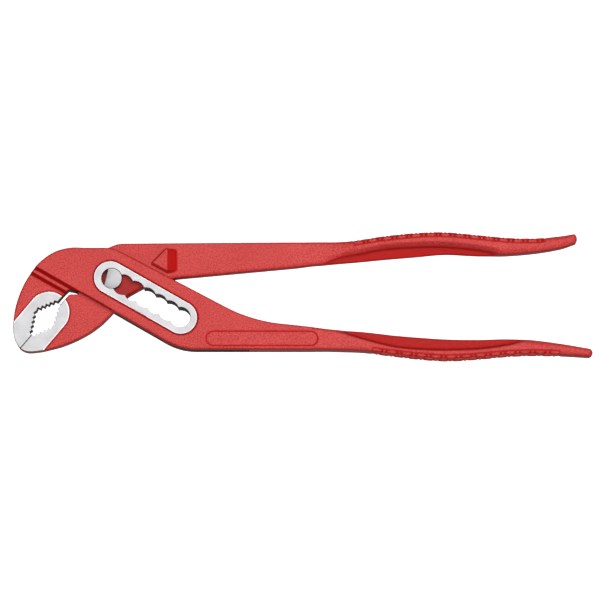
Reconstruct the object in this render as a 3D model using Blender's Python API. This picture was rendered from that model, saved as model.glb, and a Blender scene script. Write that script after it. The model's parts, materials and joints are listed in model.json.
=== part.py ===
"""Tongue and groove pliers with a through joint: two forged arms and one D-shaped pin.

The sizes below are in millimetres, and solid() turns them to metres. The pliers lie flat: +X runs from the
jaws to the handle ends, +Y from the lower handle to the upper one, and +Z is up. Every outline is drawn
about the pin's axis in the first slot position, and place() then stands the pliers on the world origin.
"""

import bpy
import bmesh
from math import acos, atan2, cos, degrees, hypot, pi, radians, sin, sqrt, tan

MM = 0.001

# Pin and slot
PIN_RADIUS = 5.0
FLAT_CLEARANCE = 0.28      # between the slot's cusps and the pin turned to pass them
PIN_FLAT_ANGLE = 166.0     # where the flat faces with the jaws closed, in degrees
PIN_CHAMFER = 0.4
PIN_SIDES = 36
PIN_SINK = 0.1             # how far the pin's ends lie below the ring's face
SLOT_CLEARANCE = 0.3       # around the pin, in the slot and in the bore
SLOT_PITCH = 6.8
SLOT_POSITIONS = 7
SLOT_ANGLE = -29.7         # the slot's direction, in degrees from +X
RING_WALL = 3.2            # the ground ring around the slot
RING_NEAR = 0.8            # how far the ring's middle line runs past the slot's, at the jaw's end
RING_FAR = 0.4             # and at the handle's end
RING_HEIGHT = 0.4

# Thicknesses, each measured from the middle plane
STRAP_HALF = 8.8
LAND_HALF = 6.8
PLATE_HALF = 5.0
SLIT_CLEARANCE = 0.5       # from the plate to each cheek
PAD_HEIGHT = 0.2           # ground pads on the jaws
GUARD_HALF = 8.6           # pinch guard on the through arm
GUARD_SLOPE_HALF = 5.4     # the guard's far edge
GUARD_RIDGE = 28.5         # where the guard starts to slope, along X

# Jaws
JAW_ANGLE = 50.0           # direction of the line where the jaws meet
JAW_MEET = (-41.3, -29.0)  # the toothed opening's outer corner, on that line
JAW_GAP = 0.3              # between the closed jaws
TOOTHED_LENGTH = 21.6      # of the toothed opening, along the line
UPPER_APEX = (11.2, 6.2)   # the opening's widest point on each jaw: along the line, and off it
LOWER_APEX = (10.2, 5.1)
UPPER_CHANNEL = 0.8        # how far off the line each toothed edge ends at the top of the opening
LOWER_CHANNEL = 0.2
TEETH = 5                  # on each of its four flanks
TOOTH_DEPTH = 1.2
TIP_LENGTH = 9.3           # of the closing faces outside the toothed opening
PAD_CENTRE = (-32.6, -17.3)
PAD_RADIUS = 10.75
LAND_WIDTH = 3.3           # of the land between the strap and the jaw
LAND_LEDGE = 0.3           # how far each step stays below the line it follows
JAW_RIGHT = -14.0          # the steps beside the jaw end here, along X

# Slotted arm: strap, lower arm and handle
STRAP_LOWER = 14.3         # from the slot's middle line to the strap's lower edge
SLIT_JAW_END = -19.0
SLIT_FOOT = (70.5, -38.3)  # the slit's slanted end, where it leaves the lower edge
SLIT_HEAD = (81.0, -13.5)
LOWER_ARM_END = 112.0
LOWER_EDGE = -36.6
LOWER_HANDLE_WEB = 4.2     # half thickness
LOWER_HANDLE_LENGTH = 142.8

# Through arm
UPPER_ARM_END = 104.0
UPPER_HANDLE_WEB = 3.6     # half thickness
UPPER_HANDLE_LENGTH = 143.0

# Handles
ROOT_OVERLAP = 6.0         # how far each handle's root runs into its arm
FLANGE_RADIUS = 2.6        # rounding of the flange's outer corners
FLANGE_LIP = 1.6           # least width left at the flange's inner side
WEB_EDGE = 0.6             # chamfer of the web's free edge
WEB_FULL = 2.5             # the web's height at which its recess is at full depth
SECTION_STEPS = 3          # sections for each pair of stations
TIP_ANGLES = (30, 60, 80)  # sections of the rounded end
TIP_FLAT = 0.55            # share of the half width left at the very end
JAW_STEPS = 4              # steps between the points of the upper jaw's curved back
BELLY_STEPS = 3            # and of the lower jaw's
ARC_ERROR = 0.03           # how far an arc's chords may lie from it
FLANGE_STEPS = 3           # steps in each of the flange's rounded corners

# Stations of each handle: share of its length from the root, outer edge, inner edge, height of the web,
# and how much wider than the arm's half thickness its flange is.
LOWER_STATIONS = [
    (0.0, -36.3, -25.7, 0.0, -0.2),
    (0.07, -36.4, -26.5, 0.6, -0.2),
    (0.17, -37.2, -27.3, 4.0, -0.1),
    (0.28, -39.4, -29.0, 6.2, 0.1),
    (0.38, -41.0, -30.2, 6.4, 0.2),
    (0.48, -41.8, -31.1, 5.8, 0.2),
    (0.59, -40.9, -31.3, 5.0, 0.0),
    (0.69, -39.6, -31.0, 3.4, -0.3),
    (0.785, -39.1, -31.8, 0.0, -0.8),
    (0.895, -39.5, -33.9, 0.0, -1.4),
    (0.98, -40.2, -36.2, 0.0, -2.2),
]
UPPER_STATIONS = [
    (0.0, 18.5, 6.9, 0.0, -0.2),
    (0.07, 18.6, 7.6, 0.6, -0.1),
    (0.14, 18.9, 8.4, 3.2, 0.6),
    (0.21, 20.2, 9.2, 4.2, 1.8),
    (0.3, 22.3, 10.4, 5.4, 2.8),
    (0.415, 23.9, 11.8, 5.2, 3.2),
    (0.52, 24.3, 13.1, 4.0, 3.3),
    (0.645, 22.8, 12.4, 3.0, 3.0),
    (0.755, 21.4, 12.8, 0.0, 2.6),
    (0.855, 21.3, 14.1, 0.0, 2.0),
    (0.94, 22.3, 16.2, 0.0, 1.4),
    (0.983, 22.7, 18.6, 0.0, 0.8),
]

# Worked out from the sizes above
SLOT_RADIUS = PIN_RADIUS + SLOT_CLEARANCE
BORE_RADIUS = PIN_RADIUS + SLOT_CLEARANCE
CUSP_HALF = sqrt(SLOT_RADIUS**2 - SLOT_PITCH**2 / 4)
PIN_FLAT = 2 * CUSP_HALF - FLAT_CLEARANCE - PIN_RADIUS  # from the pin's axis to its flat
SLIT_HALF = PLATE_HALF + SLIT_CLEARANCE
RING_RADIUS = SLOT_RADIUS + RING_WALL
RING_HALF = STRAP_HALF + RING_HEIGHT
PIN_HALF = RING_HALF - PIN_SINK
PAD_HALF = PLATE_HALF + PAD_HEIGHT
SLOT_TRAVEL = SLOT_PITCH * (SLOT_POSITIONS - 1)
CUT = 30.0                 # cutters reach this high above and below the middle plane
REACH = 60.0               # cutters reach this far past the head, to each side
FAR = 300.0                # and this far along X, past both handles


def direction(angle):
    """Unit vector at an angle in degrees."""
    return (cos(radians(angle)), sin(radians(angle)))


def along(point, angle, distance, left=0.0):
    """The point at a distance along an angle, and a distance to the left of it."""
    c, s = direction(angle)
    return (point[0] + c * distance - s * left, point[1] + s * distance + c * left)


def arc(centre, radius, start, end, count=0):
    """Points on an arc from one angle to another, in a count of steps or as fine as ARC_ERROR asks."""
    if not count:
        step = 2 * degrees(acos(1 - min(1.0, ARC_ERROR / radius)))
        count = max(2, round(abs(end - start) / step))
    angles = [start + (end - start) * i / count for i in range(count + 1)]
    return [along(centre, a, radius) for a in angles]


def rounded(corners):
    """An open path through corners (x, y) or (x, y, radius), each rounded by its radius."""
    points = [corners[0][:2]]
    for before, corner, after in zip(corners, corners[1:], corners[2:]):
        if len(corner) == 2:
            points.append(corner)
            continue
        points += fillet(before, corner, after)
    return points + [corners[-1][:2]]


def fillet(before, corner, after):
    """The arc that rounds one corner of a path."""
    x, y, radius = corner
    into = atan2(y - before[1], x - before[0])
    out = atan2(after[1] - y, after[0] - x)
    turn = (out - into + pi) % (2 * pi) - pi
    side = 1 if turn > 0 else -1
    back = radius * tan(abs(turn) / 2)
    start = along((x, y), degrees(into), -back)
    centre = along(start, degrees(into), 0, side * radius)
    first = degrees(into) - side * 90
    return arc(centre, radius, first, first + degrees(turn))


def smooth(points, steps):
    """A Catmull-Rom curve through rows of numbers, with a number of steps between each pair."""
    rows = [points[0]] + list(points) + [points[-1]]
    curve = []
    for a, b, c, d in zip(rows, rows[1:], rows[2:], rows[3:]):
        for i in range(steps):
            t = i / steps
            curve.append(tuple(spline_value(p, q, r, s, t) for p, q, r, s in zip(a, b, c, d)))
    return curve + [tuple(points[-1])]


def spline_value(p, q, r, s, t):
    """One coordinate of a Catmull-Rom curve between q and r."""
    return q + t * (r - p) / 2 + t * t * (2 * p - 5 * q + 4 * r - s) / 2 + t**3 * (3 * q - p - 3 * r + s) / 2


def stadium(start, end, radius):
    """A slot-shaped outline around the line from start to end."""
    angle = degrees(atan2(end[1] - start[1], end[0] - start[0]))
    return arc(start, radius, angle + 90, angle + 270) + arc(end, radius, angle - 90, angle + 90)


def solid(name, build):
    """A mesh object made by a function that fills a bmesh in millimetres."""
    mesh = bpy.data.meshes.new(name)
    work = bmesh.new()
    build(work)
    bmesh.ops.remove_doubles(work, verts=work.verts, dist=0.0005)
    bmesh.ops.recalc_face_normals(work, faces=work.faces)
    bmesh.ops.scale(work, vec=(MM, MM, MM), verts=work.verts)
    work.to_mesh(mesh)
    work.free()
    piece = bpy.data.objects.new(name, mesh)
    bpy.context.collection.objects.link(piece)
    return piece


def skin(work, rings):
    """Closes a row of rings of points, all of one length, into one body."""
    loops = [[work.verts.new(p) for p in ring] for ring in rings]
    for one, two in zip(loops, loops[1:]):
        for i in range(len(one)):
            j = (i + 1) % len(one)
            work.faces.new((one[i], one[j], two[j], two[i]))
    work.faces.new(loops[0])
    work.faces.new(loops[-1])


def prism(name, outline, low, high):
    """An outline raised from one height to another."""
    rings = [[(x, y, z) for x, y in outline] for z in (low, high)]
    return solid(name, lambda work: skin(work, rings))


def mirrored_prism(name, outline, low, high):
    """The same outline raised above and below the middle plane, as two bodies in one object."""
    above = [[(x, y, z) for x, y in outline] for z in (low, high)]
    below = [[(x, y, z) for x, y in outline] for z in (-high, -low)]

    def both(work):
        skin(work, above)
        skin(work, below)

    return solid(name, both)


def combine(piece, tool, operation):
    """Joins a tool to a piece, or cuts it out, with a Boolean that stays on the piece."""
    tool.hide_render = True
    tool.display_type = "WIRE"
    modifier = piece.modifiers.new(tool.name, "BOOLEAN")
    modifier.operation = operation
    modifier.solver = "EXACT"
    modifier.object = tool


def material(piece, colour, metallic, roughness):
    """Gives a piece its own Principled material."""
    finish = bpy.data.materials.new(piece.name + "_finish")
    finish.use_nodes = True
    shader = finish.node_tree.nodes["Principled BSDF"]
    shader.inputs["Base Color"].default_value = (*colour, 1)
    shader.inputs["Metallic"].default_value = metallic
    shader.inputs["Roughness"].default_value = roughness
    piece.data.materials.append(finish)


# Jaws

def teeth(start, end, side):
    """The toothed edge from start to end, with V-shaped notches cut to the given side."""
    length = hypot(end[0] - start[0], end[1] - start[1])
    angle = degrees(atan2(end[1] - start[1], end[0] - start[0]))
    pitch = length / TEETH
    points = []
    for i in range(TEETH):
        points.append(along(start, angle, i * pitch))
        points.append(along(start, angle, (i + 0.5) * pitch, side * TOOTH_DEPTH))
    return points + [end]


def toothed_edge(side):
    """One jaw's edge, from its tip to the top of the toothed opening. side is 1 on the upper jaw."""
    (far, off), channel = (UPPER_APEX, UPPER_CHANNEL) if side > 0 else (LOWER_APEX, LOWER_CHANNEL)
    start = along(JAW_MEET, JAW_ANGLE, 0, side * JAW_GAP / 2)
    apex = along(JAW_MEET, JAW_ANGLE, far, side * off)
    end = along(JAW_MEET, JAW_ANGLE, TOOTHED_LENGTH, side * channel)
    return teeth(start, apex, side) + teeth(apex, end, side)[1:]


def jaw_tip(side):
    """The point where one jaw's closing face ends."""
    return along(JAW_MEET, JAW_ANGLE, -TIP_LENGTH, side * JAW_GAP / 2)


# Slotted arm

def strap_line(x, drop=0.0):
    """A point on the strap's lower edge line, or on a line below it."""
    foot = along((0, 0), SLOT_ANGLE, 0, -STRAP_LOWER - drop)
    return (x, foot[1] + (x - foot[0]) * tan(radians(SLOT_ANGLE)))


def slotted_outline():
    """The slotted arm seen from above, without its handle."""
    jaw_back = [jaw_tip(1), (-50.0, -31.6), (-51.0, -24.4), (-49.6, -13.5), (-45.2, -2.0),
                (-38.8, 7.0), (-30.6, 13.4), (-22.0, 16.0), (-14.0, 16.0)]
    top = [(-14.0, 16.0), (0.6, 16.0, 18.0), (72.5, -21.9, 80.0), (LOWER_ARM_END, -25.9)]
    corner = strap_line(35.3)
    bottom = [(LOWER_ARM_END, LOWER_EDGE), (corner[0], LOWER_EDGE, 32.0), strap_line(-17.0),
              (-22.5, -5.6, 1.2), along(JAW_MEET, JAW_ANGLE, TOOTHED_LENGTH, UPPER_CHANNEL)]
    mouth = toothed_edge(1)[::-1]
    return smooth(jaw_back, JAW_STEPS) + rounded(top)[1:] + rounded(bottom) + mouth[1:]


def below_line(drop):
    """Everything on the jaw's side of a line below the strap's edge."""
    left = JAW_RIGHT - REACH
    return [strap_line(left, drop), strap_line(JAW_RIGHT, drop), (JAW_RIGHT, -REACH), (left, -REACH)]


def pad_surround():
    """The upper jaw's face below the land, with the ground pad's outline left out."""
    far = along(PAD_CENTRE, JAW_ANGLE, -REACH)
    left = along(far, JAW_ANGLE, 0, PAD_RADIUS)
    right = along(far, JAW_ANGLE, 0, -PAD_RADIUS)
    inner = arc(PAD_CENTRE, PAD_RADIUS, JAW_ANGLE + 90, JAW_ANGLE - 90)
    drop = LAND_WIDTH + 2 * LAND_LEDGE
    return [left, *inner, right, (JAW_RIGHT, right[1]), strap_line(JAW_RIGHT, drop),
            strap_line(JAW_RIGHT - REACH, drop)]


def slit_outline():
    """The slit between the cheeks, open along both edges of the strap."""
    slope = (SLIT_HEAD[0] - SLIT_FOOT[0]) / (SLIT_HEAD[1] - SLIT_FOOT[1])
    foot = (SLIT_FOOT[0] - (REACH + SLIT_FOOT[1]) * slope, -REACH)
    return [(SLIT_JAW_END, -REACH), foot, SLIT_HEAD, (SLIT_HEAD[0], REACH), (SLIT_JAW_END, REACH)]


def slot_outline():
    """The slot: overlapping circles a pitch apart, which leave a cusp between each pair."""
    lean = degrees(atan2(SLOT_PITCH / 2, CUSP_HALF))
    last = SLOT_POSITIONS - 1
    centres = [along((0, 0), SLOT_ANGLE, i * SLOT_PITCH) for i in range(SLOT_POSITIONS)]
    a = SLOT_ANGLE
    points = arc(centres[0], SLOT_RADIUS, a + 270 + lean, a + 90 - lean)
    for centre in centres[1:last]:
        points += arc(centre, SLOT_RADIUS, a + 90 + lean, a + 90 - lean)[1:]
    points += arc(centres[last], SLOT_RADIUS, a + 90 + lean, a - 90 - lean)[1:]
    for centre in centres[last - 1:0:-1]:
        points += arc(centre, SLOT_RADIUS, a - 90 + lean, a - 90 - lean)[1:]
    return points[:-1]


def slotted_arm():
    """Lower handle, strap with its slot, and upper jaw, as one forging."""
    arm = prism("slotted_arm", slotted_outline(), -STRAP_HALF, STRAP_HALF)
    combine(arm, mirrored_prism("land_cut", below_line(LAND_LEDGE), LAND_HALF, CUT), "DIFFERENCE")
    combine(arm, mirrored_prism("jaw_cut", below_line(LAND_WIDTH + LAND_LEDGE), PAD_HALF, CUT), "DIFFERENCE")
    combine(arm, mirrored_prism("upper_pad_cut", pad_surround(), PLATE_HALF, PAD_HALF + 0.5), "DIFFERENCE")
    near = along((0, 0), SLOT_ANGLE, -RING_NEAR)
    ring = stadium(near, along((0, 0), SLOT_ANGLE, SLOT_TRAVEL + RING_FAR), RING_RADIUS)
    combine(arm, mirrored_prism("slot_ring", ring, SLIT_HALF + 1, RING_HALF), "UNION")
    handle = handle_solid("lower_handle", LOWER_STATIONS, LOWER_ARM_END, LOWER_HANDLE_LENGTH, STRAP_HALF,
                          LOWER_HANDLE_WEB)
    combine(arm, handle, "UNION")
    combine(arm, prism("slit_cut", slit_outline(), -SLIT_HALF, SLIT_HALF), "DIFFERENCE")
    combine(arm, prism("slot_cut", slot_outline(), -CUT, CUT), "DIFFERENCE")
    return arm


# Handles

def handle_section(station, web_half):
    """One cross section of a handle: a wide flange outside and a thin web inside."""
    x, outer, inner, web, half = station
    inward = 1 if inner > outer else -1
    depth = abs(inner - outer)
    web = max(0.0, web)
    recess = min(1.0, web / WEB_FULL)
    web_now = half - (half - web_half) * recess * recess * (3 - 2 * recess)
    lip = min(FLANGE_LIP, 0.35 * depth)
    edge = min(WEB_EDGE, 0.4 * lip, web_now / 2)
    radius = min(FLANGE_RADIUS, depth / 3, half / 2)
    corner = arc((radius, half - radius), radius, 180, 90, FLANGE_STEPS)
    profile = [(0.0, 0.0), *corner, (depth - web - lip, half), (depth - web - lip / 2, web_now),
               (depth - edge, web_now), (depth, web_now - edge)]
    upper = [(x, outer + inward * v, z) for v, z in profile]
    lower = [(x, outer + inward * v, -z) for v, z in profile[:0:-1]]
    return upper + [(x, inner, 0.0)] + lower


def handle_solid(name, stations, arm_end, length, arm_half, web_half):
    """A handle lofted through its stations, with a rounded end."""
    root = arm_end - ROOT_OVERLAP
    placed = [(root + share * length, outer, inner, web, arm_half + wider)
              for share, outer, inner, web, wider in stations]
    rows = smooth(placed, SECTION_STEPS)
    x, outer, inner, web, half = rows[-1]
    tip = root + length - x
    middle = (outer + inner) / 2
    for angle in TIP_ANGLES:
        full, sunk = cos(radians(angle)), sin(radians(angle))
        rows.append((x + tip * sunk, middle + (outer - middle) * full, middle + (inner - middle) * full, 0.0,
                     half * (TIP_FLAT + (1 - TIP_FLAT) * full)))
    sections = [handle_section(row, web_half) for row in rows]
    return solid(name, lambda work: skin(work, sections))


# Through arm

def through_outline():
    """The through arm seen from above, without its handle."""
    belly = [jaw_tip(-1), (-44.6, -37.5), (-41.2, -37.8), (-34.0, -36.8), (-24.3, -34.2), (-14.0, -29.5),
             (-5.7, -23.8), (1.2, -16.9)]
    hidden = [(1.2, -16.9), (8.5, -8.8, 8.0), (16.1, -4.6), (33.0, 0.4, 20.0), (UPPER_ARM_END, 7.0)]
    top = [(UPPER_ARM_END, 18.7), (10.0, 18.3), (1.5, 18.1, 8.0), (-4.5, 15.0, 4.0), (-14.8, 4.6, 12.0),
           (-17.8, -7.9), (-22.0, -7.9, 1.5), along(JAW_MEET, JAW_ANGLE, TOOTHED_LENGTH, -1.2)]
    mouth = toothed_edge(-1)[::-1]
    return smooth(belly, BELLY_STEPS) + rounded(hidden)[1:] + rounded(top) + mouth


def guard_face(side):
    """The guard's flat top and the far edge of its slope on one face, and the outline of its foot."""
    high, low, foot = side * GUARD_HALF, side * GUARD_SLOPE_HALF, side * (PLATE_HALF - 1)
    flat = [(20.6, 8.3), (21.2, 7.1), (GUARD_RIDGE, 3.2), (GUARD_RIDGE, 15.6), (27.2, 15.6)]
    edge = [(33.8, 4.6), (33.4, 15.0)]
    outline = flat[:3] + edge + flat[3:]
    heights = [high] * 3 + [low] * 2 + [high] * 2
    top = [(x, y, z) for (x, y), z in zip(outline, heights)]
    return top, [(x, y, foot) for x, y in outline]


def guard_body(work):
    """The pinch guard on both faces: a flat triangle with a slope towards the handle."""
    for side in (1, -1):
        ring, base = [[work.verts.new(p) for p in points] for points in guard_face(side)]
        for i in range(len(ring)):
            j = (i + 1) % len(ring)
            work.faces.new((ring[i], ring[j], base[j], base[i]))
        work.faces.new((ring[0], ring[1], ring[2], ring[5], ring[6]))
        work.faces.new((ring[2], ring[3], ring[4], ring[5]))
        work.faces.new(base)


def through_arm():
    """Upper handle, the plate that passes through the slit, and lower jaw, as one forging."""
    arm = prism("through_arm", through_outline(), -PAD_HALF, PAD_HALF)
    combine(arm, mirrored_prism("lower_pad_cut", around_pad(), PLATE_HALF, CUT), "DIFFERENCE")
    combine(arm, solid("pinch_guard", guard_body), "UNION")
    handle = handle_solid("upper_handle", UPPER_STATIONS, UPPER_ARM_END, UPPER_HANDLE_LENGTH, PLATE_HALF,
                          UPPER_HANDLE_WEB)
    combine(arm, handle, "UNION")
    bore = arc((0, 0), BORE_RADIUS, 0, 360)[:-1]
    combine(arm, prism("pin_bore", bore, -CUT, CUT), "DIFFERENCE")
    return arm


def around_pad():
    """The whole through arm apart from its jaw's ground pad."""
    far = along(PAD_CENTRE, JAW_ANGLE, -REACH)
    right = along(far, JAW_ANGLE, 0, -PAD_RADIUS)
    left = along(PAD_CENTRE, JAW_ANGLE, 0, PAD_RADIUS)
    inner = arc(PAD_CENTRE, PAD_RADIUS, JAW_ANGLE + 90, JAW_ANGLE - 90)
    near = left[0] - PAD_RADIUS
    return [(near, left[1]), *inner, right, (FAR, right[1]), (FAR, REACH), (near, REACH)]


# Pin

def joint_pin():
    """The pin: round inside the through arm, D-shaped where its ends sit in the slot."""
    radius, inner = PIN_RADIUS, PIN_RADIUS - PIN_CHAMFER
    levels = [(-PIN_HALF, inner), (-PIN_HALF + PIN_CHAMFER, radius), (PIN_HALF - PIN_CHAMFER, radius),
              (PIN_HALF, inner)]
    rings = [[(x, y, z) for x, y in arc((0, 0), r, 0, 360, PIN_SIDES)[:-1]] for z, r in levels]
    pin = solid("joint_pin", lambda work: skin(work, rings))
    near = along((0, 0), PIN_FLAT_ANGLE, PIN_FLAT)
    far = along((0, 0), PIN_FLAT_ANGLE, 2 * PIN_RADIUS)
    flat = [along(p, PIN_FLAT_ANGLE, 0, side * 2 * PIN_RADIUS) for p, side in
            ((near, 1), (far, 1), (far, -1), (near, -1))]
    combine(pin, mirrored_prism("pin_flat", flat, SLIT_HALF, CUT), "DIFFERENCE")
    return pin


def place(pieces):
    """Moves the pieces so that the middle of the whole part's underside is at the world origin."""
    bpy.context.view_layer.update()
    graph = bpy.context.evaluated_depsgraph_get()
    points = [v.co for piece in pieces for v in piece.evaluated_get(graph).data.vertices]
    low = [min(p[k] for p in points) for k in range(3)]
    high = [max(p[k] for p in points) for k in range(3)]
    shift = (-(low[0] + high[0]) / 2, -(low[1] + high[1]) / 2, -low[2])
    for thing in bpy.data.objects:
        thing.location = shift
    print("pin axis at", [round(value, 6) for value in shift])


def main():
    for thing in list(bpy.data.objects):
        bpy.data.objects.remove(thing)
    slotted, through, pin = slotted_arm(), through_arm(), joint_pin()
    material(slotted, (0.55, 0.03, 0.02), 0.0, 0.45)
    material(through, (0.55, 0.04, 0.03), 0.0, 0.45)
    material(pin, (0.6, 0.6, 0.61), 1.0, 0.3)
    place([slotted, through, pin])


main()
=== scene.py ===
import json
from math import acos, atan2, ceil, cos, degrees, hypot, pi, radians, sin, sqrt, tan

import bmesh
import bpy
import numpy as np
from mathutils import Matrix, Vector
from mathutils.geometry import delaunay_2d_cdt


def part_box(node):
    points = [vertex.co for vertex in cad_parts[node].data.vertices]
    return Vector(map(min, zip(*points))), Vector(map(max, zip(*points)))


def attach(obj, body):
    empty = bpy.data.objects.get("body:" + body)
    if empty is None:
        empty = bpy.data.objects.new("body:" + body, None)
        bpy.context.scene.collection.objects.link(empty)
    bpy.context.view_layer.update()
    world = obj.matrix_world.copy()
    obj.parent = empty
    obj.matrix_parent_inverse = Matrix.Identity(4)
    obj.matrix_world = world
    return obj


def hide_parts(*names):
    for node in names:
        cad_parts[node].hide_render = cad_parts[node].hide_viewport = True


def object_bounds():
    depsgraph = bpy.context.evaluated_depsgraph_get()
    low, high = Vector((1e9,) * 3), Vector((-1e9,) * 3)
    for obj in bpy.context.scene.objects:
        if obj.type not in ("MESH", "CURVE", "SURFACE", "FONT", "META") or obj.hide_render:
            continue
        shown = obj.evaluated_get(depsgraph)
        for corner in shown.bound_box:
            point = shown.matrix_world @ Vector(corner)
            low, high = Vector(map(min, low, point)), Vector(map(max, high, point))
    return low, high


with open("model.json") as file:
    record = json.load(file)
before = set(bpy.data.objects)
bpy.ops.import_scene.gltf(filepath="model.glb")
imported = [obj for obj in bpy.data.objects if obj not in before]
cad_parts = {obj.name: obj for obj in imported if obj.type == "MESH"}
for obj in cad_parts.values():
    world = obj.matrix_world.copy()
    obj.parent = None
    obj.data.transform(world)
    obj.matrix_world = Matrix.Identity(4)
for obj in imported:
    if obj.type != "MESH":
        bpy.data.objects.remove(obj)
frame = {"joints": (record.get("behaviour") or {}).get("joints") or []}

# Tongue and groove pliers: two red forgings and one steel pin.
# Everything is drawn in millimetres about the pin's axis, with z measured from the middle plane.

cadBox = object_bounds()
joints = {joint["name"]: joint for joint in frame["joints"]}
pinAxis = Vector(joints["handle_hinge"]["pos_m"])
slideAxis = joints["position_slide"]["axis"]
slotAngle = degrees(atan2(slideAxis[1], slideAxis[0]))
slotTravel = joints["position_slide"]["range_m"][1] * 1000
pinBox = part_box("joint_pin")
mm = 0.001


# Camera, floor and light

studio = {
    "elevation": 84.0,             # degrees above the horizon, seen from the lower handle's side
    "distance": 3.0,
    "frameWidth": 0.310,           # how much of the bench the frame shows
    "aimOffset": (-0.0015, -0.0026),
    "floorSize": 8.0,
    "floorDrop": 0.14,             # the sheet of paper lies this far below, so that no shadow falls on it
    "floorColour": "#F7F7F6",
    "floorGlow": 0.75,
    "floorRoughness": 0.9,
    "roomColour": "#FFFFFF",
    "roomAbove": 0.07,             # brightness of the room above the horizon
    "roomBelow": 0.34,             # and of the bench below it
    "benchLevel": -0.5,            # the brightness changes between these two heights of the view
    "roomLevel": 0.1,
    "keySize": 1.45,
    "keyHeight": 1.5,
    "keyAside": (0.16, 0.22),
    "keyPower": 21.0,
    "fillSize": 0.8,
    "fillPlace": (0.4, -1.2, 0.8),
    "fillPower": 4.2,
}


def linearColour(hexText):
    # sRGB hex to the linear RGBA that the sockets take
    values = [int(hexText[i:i + 2], 16) / 255 for i in (1, 3, 5)]
    linear = [v / 12.92 if v <= 0.04045 else ((v + 0.055) / 1.055) ** 2.4 for v in values]
    return (*linear, 1.0)


def addNode(tree, kind, settings=None, links=None):
    # settings go to sockets by name or number, or to the node itself; links are {socket: source socket}
    node = tree.nodes.new(kind)
    for key, value in (settings or {}).items():
        if isinstance(key, int) or key in node.inputs:
            node.inputs[key].default_value = value
        else:
            setattr(node, key, value)
    for key, source in (links or {}).items():
        tree.links.new(source, node.inputs[key])
    return node


def aim(thing, target):
    thing.rotation_euler = (Vector(target) - thing.location).to_track_quat("-Z", "Y").to_euler()


def addAreaLight(name, place, size, power, target):
    lamp = bpy.data.lights.new(name, "AREA")
    lamp.shape = "SQUARE"
    lamp.size = size
    lamp.energy = power
    thing = bpy.data.objects.new(name, lamp)
    bpy.context.scene.collection.objects.link(thing)
    thing.location = place
    aim(thing, target)


def buildCamera():
    target = Vector((*studio["aimOffset"], cadBox[1].z))
    lift = radians(studio["elevation"])
    lens = bpy.data.cameras.new("benchCamera")
    lens.sensor_width = 36.0
    lens.lens = lens.sensor_width * studio["distance"] / studio["frameWidth"]
    camera = bpy.data.objects.new("benchCamera", lens)
    bpy.context.scene.collection.objects.link(camera)
    camera.location = target + Vector((0, -cos(lift), sin(lift))) * studio["distance"]
    aim(camera, target)
    bpy.context.scene.camera = camera


def mattWhitePaper():
    # Uncoated white paper with a little light of its own: it stays an even, pale ground with no glare.
    made = bpy.data.materials.new("mattWhitePaper")
    made.use_nodes = True
    shader = made.node_tree.nodes["Principled BSDF"]
    shader.inputs["Base Color"].default_value = linearColour(studio["floorColour"])
    shader.inputs["Roughness"].default_value = studio["floorRoughness"]
    shader.inputs["Specular IOR Level"].default_value = 0.0
    shader.inputs["Emission Color"].default_value = linearColour(studio["floorColour"])
    shader.inputs["Emission Strength"].default_value = studio["floorGlow"]
    return made


def buildFloor():
    half = studio["floorSize"] / 2
    level = cadBox[0].z - studio["floorDrop"]
    mesh = bpy.data.meshes.new("benchTop")
    corners = [(-half, -half, level), (half, -half, level), (half, half, level), (-half, half, level)]
    mesh.from_pydata(corners, [], [(0, 1, 2, 3)])
    mesh.materials.append(mattWhitePaper())
    floor = bpy.data.objects.new("benchTop", mesh)
    bpy.context.scene.collection.objects.link(floor)
    # the paper is seen but throws no light back on the pliers, so their edges stay dark
    floor.visible_glossy = False
    floor.visible_diffuse = False


def buildLights():
    centre = (0, 0, 0)
    keyPlace = (*studio["keyAside"], studio["keyHeight"])
    addAreaLight("keySoftbox", keyPlace, studio["keySize"], studio["keyPower"], centre)
    addAreaLight("fillSoftbox", studio["fillPlace"], studio["fillSize"], studio["fillPower"], centre)


def buildRoom():
    # a dim room over a brighter bench
    world = bpy.data.worlds.new("softRoom")
    bpy.context.scene.world = world
    world.use_nodes = True
    tree = world.node_tree
    heading = addNode(tree, "ShaderNodeTexCoord").outputs["Generated"]
    height = addNode(tree, "ShaderNodeSeparateXYZ", {}, {0: heading}).outputs["Z"]
    strength = addNode(tree, "ShaderNodeMapRange",
                       {"From Min": studio["benchLevel"], "From Max": studio["roomLevel"],
                        "To Min": studio["roomBelow"], "To Max": studio["roomAbove"]}, {0: height})
    room = tree.nodes["Background"]
    room.inputs["Color"].default_value = linearColour(studio["roomColour"])
    tree.links.new(strength.outputs[0], room.inputs["Strength"])


buildCamera()
buildFloor()
buildRoom()
buildLights()
bpy.context.scene.view_settings.view_transform = "Standard"
print("studio ready")


# Drawing in the plane of the pliers

def direction(angle):
    return (cos(radians(angle)), sin(radians(angle)))


def along(point, angle, distance, left=0.0):
    # the point at a distance along an angle in degrees, and a distance to the left of it
    c, s = direction(angle)
    return (point[0] + c * distance - s * left, point[1] + s * distance + c * left)


def arc(centre, radius, start, end, step=0.35):
    count = max(2, ceil(abs(radians(end - start)) * radius / step))
    return [along(centre, start + (end - start) * i / count, radius) for i in range(count + 1)]


def fillet(before, corner, after):
    x, y, radius = corner
    into = atan2(y - before[1], x - before[0])
    out = atan2(after[1] - y, after[0] - x)
    turn = (out - into + pi) % (2 * pi) - pi
    side = 1 if turn > 0 else -1
    start = along((x, y), degrees(into), -radius * tan(abs(turn) / 2))
    centre = along(start, degrees(into), 0, side * radius)
    first = degrees(into) - side * 90
    return arc(centre, radius, first, first + degrees(turn))


def rounded(corners):
    # an open path through (x, y) or (x, y, radius)
    points = [corners[0][:2]]
    for before, corner, after in zip(corners, corners[1:], corners[2:]):
        points += [corner] if len(corner) == 2 else fillet(before, corner, after)
    return points + [corners[-1][:2]]


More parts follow.
